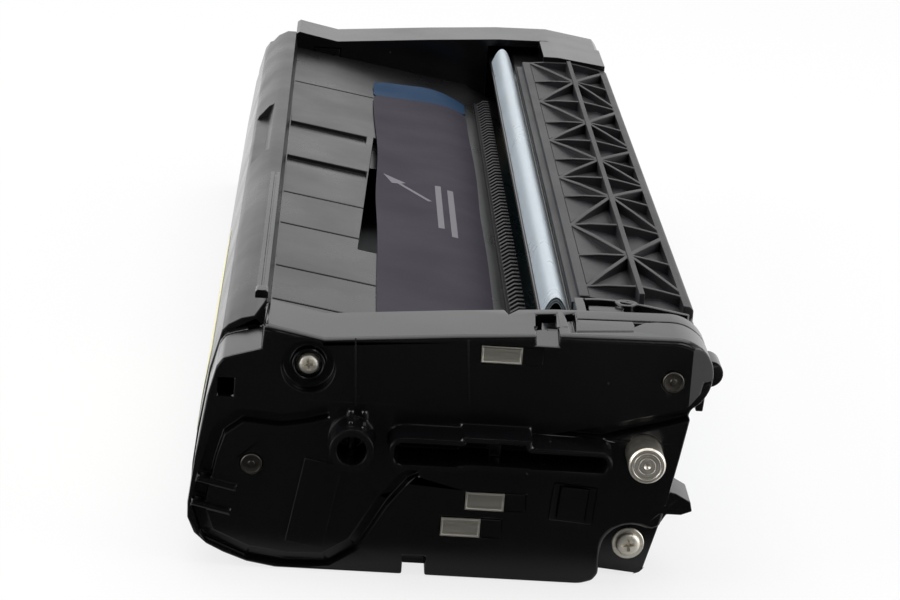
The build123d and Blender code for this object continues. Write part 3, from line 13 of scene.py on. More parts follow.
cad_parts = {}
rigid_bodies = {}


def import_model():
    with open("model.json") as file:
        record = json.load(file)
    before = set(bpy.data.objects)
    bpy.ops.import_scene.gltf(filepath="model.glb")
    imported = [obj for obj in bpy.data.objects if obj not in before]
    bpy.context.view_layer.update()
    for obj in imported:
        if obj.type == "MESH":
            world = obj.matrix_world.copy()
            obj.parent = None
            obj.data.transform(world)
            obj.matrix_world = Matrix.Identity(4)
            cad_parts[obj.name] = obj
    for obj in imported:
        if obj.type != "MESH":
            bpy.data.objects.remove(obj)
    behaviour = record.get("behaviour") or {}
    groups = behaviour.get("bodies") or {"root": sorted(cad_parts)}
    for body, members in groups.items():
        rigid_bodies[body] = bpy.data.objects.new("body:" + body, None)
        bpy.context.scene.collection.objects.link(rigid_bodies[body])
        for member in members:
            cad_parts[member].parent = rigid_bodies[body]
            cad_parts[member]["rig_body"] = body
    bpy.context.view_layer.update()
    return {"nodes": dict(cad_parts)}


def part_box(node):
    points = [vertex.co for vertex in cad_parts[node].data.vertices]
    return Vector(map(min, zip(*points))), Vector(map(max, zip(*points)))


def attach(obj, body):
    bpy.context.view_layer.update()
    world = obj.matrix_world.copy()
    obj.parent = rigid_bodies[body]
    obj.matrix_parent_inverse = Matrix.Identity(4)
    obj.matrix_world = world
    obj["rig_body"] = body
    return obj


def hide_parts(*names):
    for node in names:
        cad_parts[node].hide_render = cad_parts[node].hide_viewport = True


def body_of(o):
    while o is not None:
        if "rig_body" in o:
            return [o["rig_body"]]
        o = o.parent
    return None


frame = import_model()
parts = frame["nodes"]
MM = 0.001

# %% [markdown]
# ## The camera
# The camera stands in front of the contact end and looks down a little. Its place and its turn were
# worked out from the long edges of the cartridge, so the pieces fall where the photograph has them.
# A long lens of 120 mm on a 36 mm sensor gives the mild perspective of a product photograph.

# %% Place the camera
CAMERA_PLACE = Vector((-29.0, -782.9, 241.3)) * MM
CAMERA_PITCH = 0.28276
CAMERA_YAW = 0.04733
CAMERA_ROLL = 0.07187

looking = Vector((sin(CAMERA_YAW) * cos(CAMERA_PITCH), cos(CAMERA_YAW) * cos(CAMERA_PITCH),
                  -sin(CAMERA_PITCH)))
level = Vector((cos(CAMERA_YAW), -sin(CAMERA_YAW), 0))
upright = level.cross(looking)
right = cos(CAMERA_ROLL) * level + sin(CAMERA_ROLL) * upright
up = cos(CAMERA_ROLL) * upright - sin(CAMERA_ROLL) * level
lens = bpy.data.cameras.new("product_camera")
lens.lens = 120
lens.sensor_width = 36
camera = bpy.data.objects.new("product_camera", lens)
bpy.context.collection.objects.link(camera)
camera.matrix_world = Matrix.Translation(CAMERA_PLACE) @ Matrix((right, up, -looking)).transposed().to_4x4()
bpy.context.scene.camera = camera
print("camera at", tuple(round(value, 3) for value in CAMERA_PLACE))

# %% [markdown]
# ## Nodes for the finishes
# Every finish is a small graph of nodes. One function adds a node, sets it up and links it, and
# another turns the hex colours that a painter writes into the linear values that Blender counts in.

# %% Helpers for materials
def linear(code, alpha=1.0):
    """An sRGB hex colour as a linear colour."""
    shares = [int(code[start:start + 2], 16) / 255 for start in (0, 2, 4)]
    straight = [share / 12.92 if share <= 0.04045 else ((share + 0.055) / 1.055) ** 2.4 for share in shares]
    return straight + [alpha]


def add(tree, kind, links=(), settings=(), **values):
    """Adds a node. Links go from an output socket to a named input, values are set on inputs."""
    made = tree.nodes.new("ShaderNode" + kind)
    for name, value in dict(settings).items():
        setattr(made, name, value)
    for name, value in values.items():
        made.inputs[int(name[1:]) if name[1:].isdigit() else name.replace("_", " ")].default_value = value
    for name, output in dict(links).items():
        tree.links.new(output, made.inputs[name])
    return made


def ramp(tree, source, low, high, dark=0.0, light=1.0):
    """Maps a value between two limits onto two others."""
    made = add(tree, "MapRange", {"Value": source}, From_Min=low, From_Max=high, To_Min=dark, To_Max=light)
    return made.outputs["Result"]


def new_finish(name):
    """An empty material with a shader, its output and its object coordinates."""
    finish = bpy.data.materials.new(name)
    finish.use_nodes = True
    tree = finish.node_tree
    tree.nodes.clear()
    shader = add(tree, "BsdfPrincipled")
    add(tree, "OutputMaterial", {"Surface": shader.outputs["BSDF"]})
    place = add(tree, "TexCoord").outputs["Object"]
    return finish, tree, shader, place


# %% [markdown]
# ## Moulded plastic
# The housing is impact-resistant polystyrene, injection moulded and blackened with carbon. Its steel
# mould is either polished, which leaves a gloss with faint flow marks, or spark eroded, which leaves
# a fine grain. Both are one graph: a grain in the bump, uneven roughness and a little dust.

# %% The plastic finishes
def moulded(name, colour, roughness, grain_mm, grain_height, patch=0.05, dust=0.12, specular=0.35):
    """Moulded plastic: grain size and height in millimetres, and how much dust lies on it."""
    finish, tree, shader, place = new_finish(name)
    shader.inputs["Specular IOR Level"].default_value = specular
    grain = add(tree, "TexNoise", {"Vector": place}, Scale=1 / (grain_mm * MM), Detail=3.0, Roughness=0.6)
    flow = add(tree, "TexNoise", {"Vector": place}, Scale=1 / (22 * MM), Detail=4.0, Roughness=0.55)
    tree.links.new(ramp(tree, flow.outputs["Fac"], 0.3, 0.7, roughness - patch, roughness + patch),
                   shader.inputs["Roughness"])
    specks = add(tree, "TexVoronoi", {"Vector": place}, Scale=1 / (5.5 * MM), Randomness=1.0)
    speck = ramp(tree, specks.outputs["Distance"], 0.05, 0.028)
    clouds = add(tree, "TexNoise", {"Vector": place}, Scale=1 / (14 * MM))
    cloud = ramp(tree, clouds.outputs["Fac"], 0.52, 0.62)
    dusty = add(tree, "Math", {0: speck, 1: cloud}, {"operation": "MULTIPLY"}).outputs[0]
    film = add(tree, "Math", {0: dusty}, {"operation": "MULTIPLY"}, _1=dust).outputs[0]
    mix = add(tree, "Mix", {0: film}, {"data_type": "RGBA"}, _6=linear(colour), _7=linear("B8B5AC"))
    tree.links.new(mix.outputs[2], shader.inputs["Base Color"])
    bump = add(tree, "Bump", {"Height": grain.outputs["Fac"]}, Distance=grain_height * MM, Strength=1.0)
    tree.links.new(bump.outputs["Normal"], shader.inputs["Normal"])
    return finish


gloss_black = moulded("polished_black_polystyrene", "0A0A0C", 0.2, 0.9, 0.006, specular=0.5)
lid_black = moulded("satin_black_polystyrene", "121214", 0.3, 0.7, 0.008, dust=0.06)
grain_black = moulded("spark_eroded_black_polystyrene", "232225", 0.46, 0.55, 0.05, dust=0.05)
natural_acetal = moulded("natural_acetal", "DCD6C6", 0.4, 1.2, 0.01, dust=0.0, specular=0.5)
grey_foam = moulded("grey_polyurethane_foam", "4A4A4C", 0.9, 0.8, 0.3, dust=0.0)
roller_rubber = moulded("conductive_rubber", "1C1B1C", 0.6, 0.5, 0.02, dust=0.0)
blade_rubber = moulded("amber_polyurethane", "B8813B", 0.35, 0.8, 0.01, dust=0.0)
drum_coat = moulded("organic_photoconductor_coat", "2E6E72", 0.12, 6.0, 0.001, dust=0.0, specular=0.5)
white_film = moulded("folded_white_polyester", "B9C4CC", 0.3, 3.5, 0.08, dust=0.0, specular=0.4)
blue_film = moulded("blue_polyester_film", "0E3250", 0.5, 6.0, 0.05, dust=0.0, specular=0.08)
clear_film = moulded("clear_polyester_film", "C8CCCE", 0.15, 6.0, 0.01, dust=0.0, specular=0.5)
violet_film = moulded("violet_black_polyester_film", "2F2A35", 0.52, 8.0, 0.03, dust=0.05, specular=0.06)
grey_ink = moulded("grey_printing_ink", "77747A", 0.7, 0.8, 0.004, dust=0.0, specular=0.2)
label_stock = moulded("coated_label_paper", "E9E4B8", 0.5, 0.6, 0.01, dust=0.0)
print("label finish nodes:", len(label_stock.node_tree.nodes))

# %% [markdown]
# ## Metal
# The drum's pin is turned steel, the screws and contacts are nickel plated and the rivets blackened.
# A metal takes its colour from its reflection, so the shader is fully metallic and the tool marks go
# into the roughness and the bump. Turning leaves rings round the axis, rolling leaves streaks along
# the sheet.

# %% The metal finishes
def metal(name, colour, roughness, mark_mm, centre=None):
    """A metal with streaks, or with turned rings where a centre in X and Z is given."""
    finish, tree, shader, place = new_finish(name)
    shader.inputs["Metallic"].default_value = 1.0
    if centre:
        to_centre = (-centre[0] * MM, 0, -centre[1] * MM)
        place = add(tree, "Mapping", {"Vector": place}, Location=to_centre).outputs[0]
        marks = add(tree, "TexWave", {"Vector": place}, {"wave_type": "RINGS", "rings_direction": "Y"},
                    Scale=0.31 / (mark_mm * MM), Distortion=0.15, Detail=1.0)
    else:
        place = add(tree, "Mapping", {"Vector": place}, Scale=(0.06, 1, 1)).outputs[0]
        marks = add(tree, "TexNoise", {"Vector": place}, Scale=1 / (mark_mm * MM), Detail=3.0)
    stain = add(tree, "TexNoise", {"Vector": place}, Scale=1 / (2.2 * MM), Detail=3.0)
    mix = add(tree, "Mix", {0: ramp(tree, stain.outputs["Fac"], 0.35, 0.7)}, {"data_type": "RGBA"},
              _6=linear(colour), _7=[share * 0.72 for share in linear(colour)[:3]] + [1])
    tree.links.new(mix.outputs[2], shader.inputs["Base Color"])
    tree.links.new(ramp(tree, marks.outputs["Fac"], 0.2, 0.8, roughness - 0.06, roughness + 0.08),
                   shader.inputs["Roughness"])
    bump = add(tree, "Bump", {"Height": marks.outputs["Fac"]}, Distance=0.02 * MM, Strength=0.6)
    tree.links.new(bump.outputs["Normal"], shader.inputs["Normal"])
    return finish


PIN_CENTRE = (44.3, 31.2)
turned_steel = metal("turned_steel", "F6F0E4", 0.42, 0.5, PIN_CENTRE)
rolled_steel = metal("rolled_steel", "AEB0B2", 0.38, 0.4)
contact_nickel = metal("nickel_plated_contact", "DAD6CA", 0.42, 0.35)
screw_nickel = metal("nickel_plated_screw", "F8F3E6", 0.46, 0.6)
rivet_steel = metal("blackened_rivet_steel", "5E5A55", 0.4, 0.5)
print("rivet finish nodes:", len(rivet_steel.node_tree.nodes))

# %% [markdown]
# ## Which finish goes where
# A node that keeps its CAD shape gets its finish in its material slots. Nodes that are dressed later
# hand the same finish to their copy.

# %% Finish every node
finishes = {
    gloss_black: ["near_end_cap", "far_end_cap", "hopper_housing", "drum_frame", "ridge_rail", "square_plug",
                  "side_plate", "rail_clip"],
    lid_black: ["hopper_lid"],
    grain_black: ["lattice_cover", "tooth_strip"],
    natural_acetal: ["fill_plug", "drum_flange", "drum_gear", "developer_gear", "developer_bushes",
                     "supply_gear", "idler_gear", "small_agitator", "small_agitator_gear", "main_agitator",
                     "main_agitator_gear", "charge_bushes"],
    grey_foam: ["supply_foam"],
    roller_rubber: ["developer_sleeve", "charge_rubber"],
    blade_rubber: ["cleaning_blade"],
    drum_coat: ["drum_tube"],
    white_film: ["folded_film"],
    blue_film: ["pull_tab"],
    clear_film: ["agitator_sheet", "recovery_film", "lip_film"],
    violet_film: ["protective_sheet"],
    label_stock: ["side_label"],
    turned_steel: ["drum_pin"],
    rolled_steel: ["developer_shaft", "supply_shaft", "charge_shaft", "cleaning_holder", "metering_holder",
                   "metering_blade"],
    rivet_steel: ["left_rivet", "right_rivet"],
    contact_nickel: ["charge_contact", "developer_contact", "supply_contact"],
    screw_nickel: ["cap_screw", "ear_screw", "far_screws", "cleaning_screws", "metering_screws"],
}
finish_of = {name: finish for finish, names in finishes.items() for name in names}
for name, part in parts.items():
    part.data.materials.clear()
    part.data.materials.append(finish_of[name])
print("finished nodes:", len(finish_of))

# %% [markdown]
# ## Mould edges
# No moulded edge is perfectly sharp, and the eye finds the form of a black part by the thin lights
# along its rounded edges. A node is copied, its loose triangles are merged into flat faces, and a
# Bevel modifier rounds every edge that turns by more than 30 degrees. The far cap has a smaller
# radius than the other large mouldings, so that no mitre stands out over its top.

# %% Helpers for dressing a node
SHARP_TURN = radians(30)
SMOOTH_TURN = radians(28)


def take(piece):
    """Makes one piece the only selected and active one."""
    if bpy.context.mode != "OBJECT":
        bpy.ops.object.mode_set(mode="OBJECT")
    bpy.ops.object.select_all(action="DESELECT")
    piece.select_set(True)
    bpy.context.view_layer.objects.active = piece


def copy_of(node, name):
    """A copy of a CAD node with its triangles merged into flat faces."""
    piece = bpy.data.objects.new(name, parts[node].data.copy())
    bpy.context.collection.objects.link(piece)
    take(piece)
    bpy.ops.mesh.customdata_custom_splitnormals_clear()
    bpy.ops.object.mode_set(mode="EDIT")
    bpy.ops.mesh.select_all(action="SELECT")
    bpy.ops.mesh.remove_doubles(threshold=0.002 * MM)
    bpy.ops.mesh.dissolve_limited(angle_limit=radians(0.2))
    bpy.ops.mesh.vert_connect_concave()
    bpy.ops.object.mode_set(mode="OBJECT")
    return piece


def round_edges(piece, radius, steps=2):
    """Rounds the sharp edges of a piece by a radius in millimetres."""
    take(piece)
    bevel = piece.modifiers.new("mould_edges", "BEVEL")
    bevel.width = radius * MM
    bevel.segments = steps
    bevel.limit_method = "ANGLE"
    bevel.angle_limit = SHARP_TURN
    bevel.use_clamp_overlap = False
    bpy.ops.object.modifier_apply(modifier=bevel.name)
    bpy.ops.object.shade_smooth_by_angle(angle=SMOOTH_TURN)
    weights = piece.modifiers.new("flat_faces", "WEIGHTED_NORMAL")
    weights.keep_sharp = True
    weights.weight = 100
    bpy.ops.object.modifier_apply(modifier=weights.name)


def pick(piece, kind, chosen):
    """Selects the points (VERT) or faces (FACE) that pass a test and goes into edit mode."""
    take(piece)
    bpy.ops.object.mode_set(mode="EDIT")
    bpy.ops.mesh.select_mode(type=kind)
    bpy.ops.mesh.select_all(action="DESELECT")
    bpy.ops.object.mode_set(mode="OBJECT")
    elements = piece.data.vertices if kind == "VERT" else piece.data.polygons
    for element in elements:
        element.select = chosen(element)
    bpy.ops.object.mode_set(mode="EDIT")


def stands_for(piece, *nodes):
    """The piece takes the finish and the body of the nodes that it replaces, and those nodes are hidden."""
    piece.data.materials.clear()
    piece.data.materials.append(finish_of[nodes[0]])
    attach(piece, body_of(parts[nodes[0]])[0])
    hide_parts(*nodes)


# %% Copy the visible mouldings
edge_radius = {"near_end_cap": 0.46, "far_end_cap": 0.15, "hopper_housing": 0.3, "drum_frame": 0.25,
               "lattice_cover": 0.25, "hopper_lid": 0.3, "ridge_rail": 0.12, "rail_clip": 0.12,
               "side_plate": 0.3, "square_plug": 0.2, "tooth_strip": 0.1}
mouldings = {name: copy_of(name, name + "_moulding") for name in edge_radius}
print("mouldings copied:", len(mouldings))

# %% [markdown]
# ## Hollows in the lid
# Beside the protective sheet the lid has a narrow gap in the form of a wedge, and two shallow dips lie
# on its slope further left. In the steel mould they are raised lands. Here a block stands where the
# hollow is, and a Boolean modifier takes it out of the copy. This comes before the rounding, so the
# rims of the hollows are rounded as well.

# %% Helpers that cut
def cut_with(piece, block):
    """Cuts a block out of a piece with a Boolean modifier and takes the block away."""
    take(piece)
    cut = piece.modifiers.new("hollow", "BOOLEAN")
    cut.operation = "DIFFERENCE"
    cut.object = block
    bpy.ops.object.modifier_apply(modifier=cut.name)
    bpy.data.objects.remove(block)


def carve(piece, place, size, turn=(0, 0, 0)):
    """Cuts a hollow with straight walls out of a piece, sizes in millimetres."""
    bpy.ops.object.select_all(action="DESELECT")
    bpy.ops.mesh.primitive_cube_add(size=1, location=Vector(place) * MM, rotation=turn)
    block = bpy.context.active_object
    block.scale = Vector(size) * MM
    bpy.ops.object.transform_apply(location=True, rotation=True, scale=True)
    cut_with(piece, block)


# %% Cut the wedge and the dips
SLOPE_DROP, SLOPE_WIDTH = 4.9, 29.5
SLOPE_TURN = atan2(SLOPE_DROP, SLOPE_WIDTH)
WEDGE_PLACE = (-13.7, -13.5, 46.5)
WEDGE_SIZE = (6, 123, 6)
WEDGE_TURN = radians(-2.05)
DIP_STARTS = (-7, 34)
DIP_X, DIP_Z = -27.5, 48.75
DIP_SIZE = (22, 13.5, 2)
DIP_TILT = radians(-5.5)
lid = mouldings["hopper_lid"]
carve(lid, WEDGE_PLACE, WEDGE_SIZE, (0, SLOPE_TURN, WEDGE_TURN))
for start in DIP_STARTS:
    carve(lid, (DIP_X, start + DIP_SIZE[1] / 2, DIP_Z), DIP_SIZE, (DIP_TILT, SLOPE_TURN, 0))
print("lid faces:", len(lid.data.polygons))

# %% [markdown]
# ## The near end of the hump
# Over its last stretch the lid's left hump comes down to the height of the near end cap. A bisect
# across the copy adds a row of edges there and takes nothing away. What stands up at the very end is
# then pressed down to half its height, and the stretch up to the new edges follows as a slope.

# %% Lower the hump
HUMP_BEND, HUMP_END = -95.0, -149.0
HUMP_RIGHT, HUMP_LOW = -40.6, 47.0
HUMP_SHARE = 0.5


def at_hump_end(point):
    """Whether a point belongs to the near end of the hump."""
    x, y, z = point.co / MM
    return y < HUMP_END and x < HUMP_RIGHT and z > HUMP_LOW


take(lid)
bpy.ops.object.mode_set(mode="EDIT")
bpy.ops.mesh.select_mode(type="VERT")
bpy.ops.mesh.select_all(action="SELECT")
bpy.ops.mesh.bisect(plane_co=(0, HUMP_BEND * MM, 0), plane_no=(0, 1, 0))
pick(lid, "VERT", at_hump_end)
bpy.ops.transform.resize(value=(1, 1, HUMP_SHARE), center_override=(0, 0, HUMP_LOW * MM))
bpy.ops.object.mode_set(mode="OBJECT")
print("lowered points:", sum(at_hump_end(point) for point in lid.data.vertices))

# %% [markdown]
# ## Corners and outline of the contact face
# The smallest corners of the channel have points closer together than the rounding is wide, so a
# bevel there would fold over itself. Such points are merged first. The lower right outline has a
# wide soft edge on the real face: its sharp edges are bevelled on their own, with four segments.

# %% Prepare the contact face
CONTACT_FACE, FACE_SLACK = -170.0, 0.02
CHANNEL_RIGHT, CHANNEL_FRONT, CHANNEL_TOP = -12.0, -167.0, 36.0
SHORTEST_EDGE, MERGE_REACH = 0.12, 0.8
OUTLINE_LEFT, OUTLINE_TOP = 33.0, 19.0
OUTLINE_RADIUS, OUTLINE_STEPS = 1.0, 4


def thin_corners(piece):
    """Makes one point of each corner of the channel whose edges are too short to bevel."""
    short = set()
    for edge in piece.data.edges:
        first, second = (piece.data.vertices[index].co for index in edge.vertices)
        left_part = first.x < CHANNEL_RIGHT * MM and first.z < CHANNEL_TOP * MM
        in_channel = left_part and first.y < CHANNEL_FRONT * MM
        if in_channel and (first - second).length < SHORTEST_EDGE * MM:
            short.update(edge.vertices)
    pick(piece, "VERT", lambda point: point.index in short)
    bpy.ops.mesh.remove_doubles(threshold=MERGE_REACH * MM)
    bpy.ops.object.mode_set(mode="OBJECT")


def on_outline(point):
    """Whether a point lies on the lower right outline of the contact face."""
    x, y, z = point.co / MM
    return abs(y - CONTACT_FACE) < FACE_SLACK and x > OUTLINE_LEFT and z < OUTLINE_TOP


def round_outline(piece):
    """Rounds the sharp edges of the outline widely."""
    take(piece)
    bpy.ops.object.mode_set(mode="EDIT")
    bpy.ops.mesh.select_mode(type="EDGE")
    bpy.ops.mesh.select_all(action="DESELECT")
    bpy.ops.mesh.edges_select_sharp(sharpness=SHARP_TURN)
    bpy.ops.object.mode_set(mode="OBJECT")
    points = piece.data.vertices
    for element in (*points, *piece.data.polygons):
        element.select = False
    for edge in piece.data.edges:
        edge.select = edge.select and all(on_outline(points[index]) for index in edge.vertices)
    bpy.ops.object.mode_set(mode="EDIT")
    bpy.ops.mesh.bevel(offset=OUTLINE_RADIUS * MM, segments=OUTLINE_STEPS, affect="EDGES")
    bpy.ops.object.mode_set(mode="OBJECT")


thin_corners(mouldings["near_end_cap"])
round_outline(mouldings["near_end_cap"])
print("contact end faces:", len(mouldings["near_end_cap"].data.polygons))

# %% [markdown]
# ## Round every edge
# Each moulding now gets its radius along all its edges. Weighted normals then keep the flat faces
# even in the light, and the copy takes the place of its node.

# %% Round the mouldings
for name, radius in edge_radius.items():
    moulding = mouldings[name]
    round_edges(moulding, radius)
    stands_for(moulding, name)
    print(name, len(moulding.data.polygons))

# %% [markdown]
# ## The plate and the seams on the contact face
# The mould of the contact face is built from inserts. Each leaves a fine raised seam where it meets
# its neighbour, and one leaves a low plate under the round guide.

# %% Raise the plate and the seams
SUNK = 0.2


def raised(name, start, end, width, height):
    """A low bar on the contact face between two points (x, z), in millimetres."""
    (x_a, z_a), (x_b, z_b) = start, end
    bpy.ops.object.select_all(action="DESELECT")
    place = Vector(((x_a + x_b) / 2, CONTACT_FACE - height / 2 + SUNK / 2, (z_a + z_b) / 2)) * MM
    bpy.ops.mesh.primitive_cube_add(size=1, location=place, rotation=(0, atan2(x_b - x_a, z_b - z_a), 0))
    bar = bpy.context.active_object
    bar.name = name
    bar.scale = Vector((width, height + SUNK, hypot(x_b - x_a, z_b - z_a))) * MM
    bpy.ops.object.transform_apply(location=True, rotation=True, scale=True)
    round_edges(bar, min(width, height) * 0.45, steps=3)
    bar.data.materials.append(gloss_black)
    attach(bar, body_of(parts["near_end_cap"])[0])


SEAM_WIDTH, SEAM_HEIGHT = 0.3, 0.14
raised("insert_plate", (-28.1, 5.7), (-24.75, 25.05), 8.3, 0.4)
raised("left_seam", (-19.5, 53.4), (-18.5, 37.2), SEAM_WIDTH, SEAM_HEIGHT)
raised("middle_seam", (4.6, 54.4), (5.8, 38.6), SEAM_WIDTH, SEAM_HEIGHT)
raised("low_seam", (-30.5, 38.8), (-10.2, 38.8), SEAM_WIDTH, SEAM_HEIGHT)
print("contact face dressed")

# %% [markdown]
# ## Turned pieces
# The drum's pin, the rivets and the screws are round about an axis along the cartridge. Each starts
# as one filled ring of vertices, and the face is drawn out ring by ring, as a lathe tool would run
# along the bar: a step out is a shoulder, a step in is a chamfer or a groove.

# %% Turn a piece
def turned(name, centre, rings, sides=64):
    """A turned piece from rings of (radius, station) in millimetres."""
    x, z = centre
    (radius, station), *rest = rings
    bpy.ops.object.select_all(action="DESELECT")
    bpy.ops.mesh.primitive_circle_add(vertices=sides, radius=radius * MM, fill_type="NGON",
                                      location=(x * MM, station * MM, z * MM), rotation=(pi / 2, 0, 0))
    piece = bpy.context.active_object
    piece.name = name
    bpy.ops.object.transform_apply(location=True, rotation=True, scale=True)
    bpy.ops.object.mode_set(mode="EDIT")
    bpy.ops.mesh.select_all(action="SELECT")
    for wide, reach in rest:
        bpy.ops.mesh.extrude_region_move(TRANSFORM_OT_translate={"value": (0, (reach - station) * MM, 0)})
        bpy.ops.transform.resize(value=(wide / radius, 1, wide / radius),
                                 center_override=(x * MM, reach * MM, z * MM))
        radius, station = wide, reach
    bpy.ops.mesh.select_all(action="SELECT")
    bpy.ops.mesh.normals_make_consistent(inside=False)
    bpy.ops.object.mode_set(mode="OBJECT")
    bpy.ops.object.shade_smooth_by_angle(angle=SMOOTH_TURN)
    print(name, len(piece.data.polygons))
    return piece


# %% The drum pin with its chamfer, tool rings and centre drilling
pin_low, pin_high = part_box("drum_pin")
pin_end = pin_low[1] / MM
pin = turned("turned_drum_pin", PIN_CENTRE, [
    (4.0, pin_high[1] / MM), (4.0, pin_end + 0.45), (3.62, pin_end), (3.1, pin_end), (3.02, pin_end + 0.07),
    (2.9, pin_end + 0.07), (2.82, pin_end), (1.9, pin_end), (1.84, pin_end + 0.05), (1.74, pin_end + 0.05),
    (1.68, pin_end), (0.75, pin_end), (0.6, pin_end + 0.1), (0.12, pin_end + 0.55)], sides=96)
stands_for(pin, "drum_pin")

# %% [markdown]
# ## Rivets
# Both rivets at the contact end are hollow-set: the closing tool leaves a raised ring, a dished face
# inside it and a small pip in the middle.

# %% The two rivets
def box_centre(node):
    """The middle of a node across the cartridge, in millimetres."""
    low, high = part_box(node)
    return (low[0] + high[0]) / 2 / MM, (low[2] + high[2]) / 2 / MM


RIVET_FACE = -170.6
for node in ("left_rivet", "right_rivet"):
    rivet = turned("set_" + node, box_centre(node), [
        (1.2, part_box(node)[1][1] / MM), (1.2, RIVET_FACE + 0.7), (2.3, RIVET_FACE + 0.7),
        (2.3, RIVET_FACE + 0.12), (2.18, RIVET_FACE), (1.98, RIVET_FACE), (1.84, RIVET_FACE + 0.3),
        (1.2, RIVET_FACE + 0.42), (0.8, RIVET_FACE + 0.38), (0.62, RIVET_FACE + 0.2),
        (0.3, RIVET_FACE + 0.16)])
    stands_for(rivet, node)

# %% [markdown]
# ## Screws
# The cartridge is closed with pan-head screws of hardened steel, nickel plated, and the one at the
# ear has a washer pressed into its head. A head is turned first. Its cross recess is then cut with a
# Boolean modifier, and the two bars that cut it taper towards their deep end, as the driver does.

# %% Cut a cross recess
def cut_cross(piece, centre, face, way, reach, width, depth):
    """Cuts a cross into a screw head that faces along the way, -1 for the contact end."""
    x, z = centre
    for turn in (radians(8), radians(98)):
        bpy.ops.object.select_all(action="DESELECT")
        bpy.ops.mesh.primitive_cube_add(size=1, location=(x * MM, (face - way * depth / 2) * MM, z * MM))
        bar = bpy.context.active_object
        bar.scale = (reach * MM, depth * 1.6 * MM, width * MM)
        bpy.ops.object.transform_apply(location=True, rotation=True, scale=True)
        pick(bar, "FACE", lambda side: side.normal.y * way < -0.9)
        deep = (x * MM, (face - way * depth * 1.3) * MM, z * MM)
        bpy.ops.transform.resize(value=(0.3, 1, 0.5), center_override=deep)
        bpy.ops.mesh.select_all(action="SELECT")
        bpy.ops.transform.rotate(value=turn, orient_axis="Y", center_override=deep)
        bpy.ops.object.mode_set(mode="OBJECT")
        cut_with(piece, bar)
    bpy.ops.object.shade_smooth_by_angle(angle=SMOOTH_TURN)


SHANK_RADIUS, HEAD_HEIGHT, WASHER_HEIGHT = 1.5, 1.6, 0.45
CROSS_REACH, CROSS_WIDTH, CROSS_DEPTH = 1.25, 0.3, 0.62


def pan_screw(name, centre, tip, seat, head, way, washer=0.0):
    """A screw with a domed head of a radius, and a washer where it has one."""
    face = seat + way * HEAD_HEIGHT
    foot = seat + way * (WASHER_HEIGHT if washer else 0.0)
    rim = []
    if washer:
        rim = [(washer, seat), (washer, seat + way * 0.3), (washer - 0.15, foot), (head + 0.25, foot)]
    dome = [(head, foot), (head, foot + (face - foot) * 0.35), (head * 0.95, foot + (face - foot) * 0.62),
            (head * 0.85, foot + (face - foot) * 0.84), (head * 0.7, foot + (face - foot) * 0.95),
            (head * 0.5, face)]
    screw = turned(name, centre, [(SHANK_RADIUS, tip), (SHANK_RADIUS, seat)] + rim + dome)
    cut_cross(screw, centre, face, way, head * CROSS_REACH, head * CROSS_WIDTH, HEAD_HEIGHT * CROSS_DEPTH)
    return screw


# %% The screws of the two ends
CAP_SEAT, EAR_SEAT = -167.0, -163.0
FAR_SEAT, FAR_TIP = 167.8, 151.0
HEAD_RADIUS = 2.3
EAR_HEAD_RADIUS, EAR_WASHER = 2.7, 3.6
FAR_SCREW_PLACES = ((-29.2, 46.3), (49.3, 47.6), (8.0, 6.6))
cap_tip, ear_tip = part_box("cap_screw")[1][1] / MM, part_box("ear_screw")[1][1] / MM
cap_head = pan_screw("cross_cap_screw", box_centre("cap_screw"), cap_tip, CAP_SEAT, HEAD_RADIUS, -1)
stands_for(cap_head, "cap_screw")
ear_head = pan_screw("cross_ear_screw", box_centre("ear_screw"), ear_tip, EAR_SEAT, EAR_HEAD_RADIUS, -1,
                     washer=EAR_WASHER)
stands_for(ear_head, "ear_screw")
far_heads = []
for index, place in enumerate(FAR_SCREW_PLACES):
    far_heads.append(pan_screw(f"cross_far_screw_{index}", place, FAR_TIP, FAR_SEAT, HEAD_RADIUS, 1))
take(far_heads[0])
for head in far_heads:
    head.select_set(True)
bpy.ops.object.join()
stands_for(far_heads[0], "far_screws")

# %% [markdown]
# ## Contact plates
# The three plates at the contact end feed the rollers. They are punched from nickel-plated strip and
# pressed over a moulded seat, so each edge is rolled and catches a bright line round a flat field.
# A cube is the start, its front is inset twice and pressed in a little, and the rim is bevelled.

# %% The three contacts
RIM_WIDTH, STEP_WIDTH, FIELD_DEPTH, ROLLED_RADIUS = 0.3, 0.12, 0.14, 0.11
for node in ("charge_contact", "developer_contact", "supply_contact"):
    low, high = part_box(node)
    bpy.ops.object.select_all(action="DESELECT")
    bpy.ops.mesh.primitive_cube_add(size=1, location=[(a + b) / 2 for a, b in zip(low, high)])
    plate = bpy.context.active_object
    plate.name = "rolled_" + node
    plate.scale = [b - a for a, b in zip(low, high)]
    bpy.ops.object.transform_apply(location=True, rotation=True, scale=True)
    pick(plate, "FACE", lambda side: side.normal.y < -0.9)
    bpy.ops.mesh.inset(thickness=RIM_WIDTH * MM, depth=0)
    bpy.ops.mesh.inset(thickness=STEP_WIDTH * MM, depth=-FIELD_DEPTH * MM)
    bpy.ops.object.mode_set(mode="OBJECT")
    round_edges(plate, ROLLED_RADIUS)
    stands_for(plate, node)
    print(plate.name, len(plate.data.polygons))

# %% [markdown]
# ## Films
# A film is modelled as it is laid: a line of vertices along the cartridge is drawn out from point to
# point across it, so the sheet has the bends that the hand gives it. A Subdivision Surface modifier
# softens the bends, and a Solidify modifier gives the film its thickness.

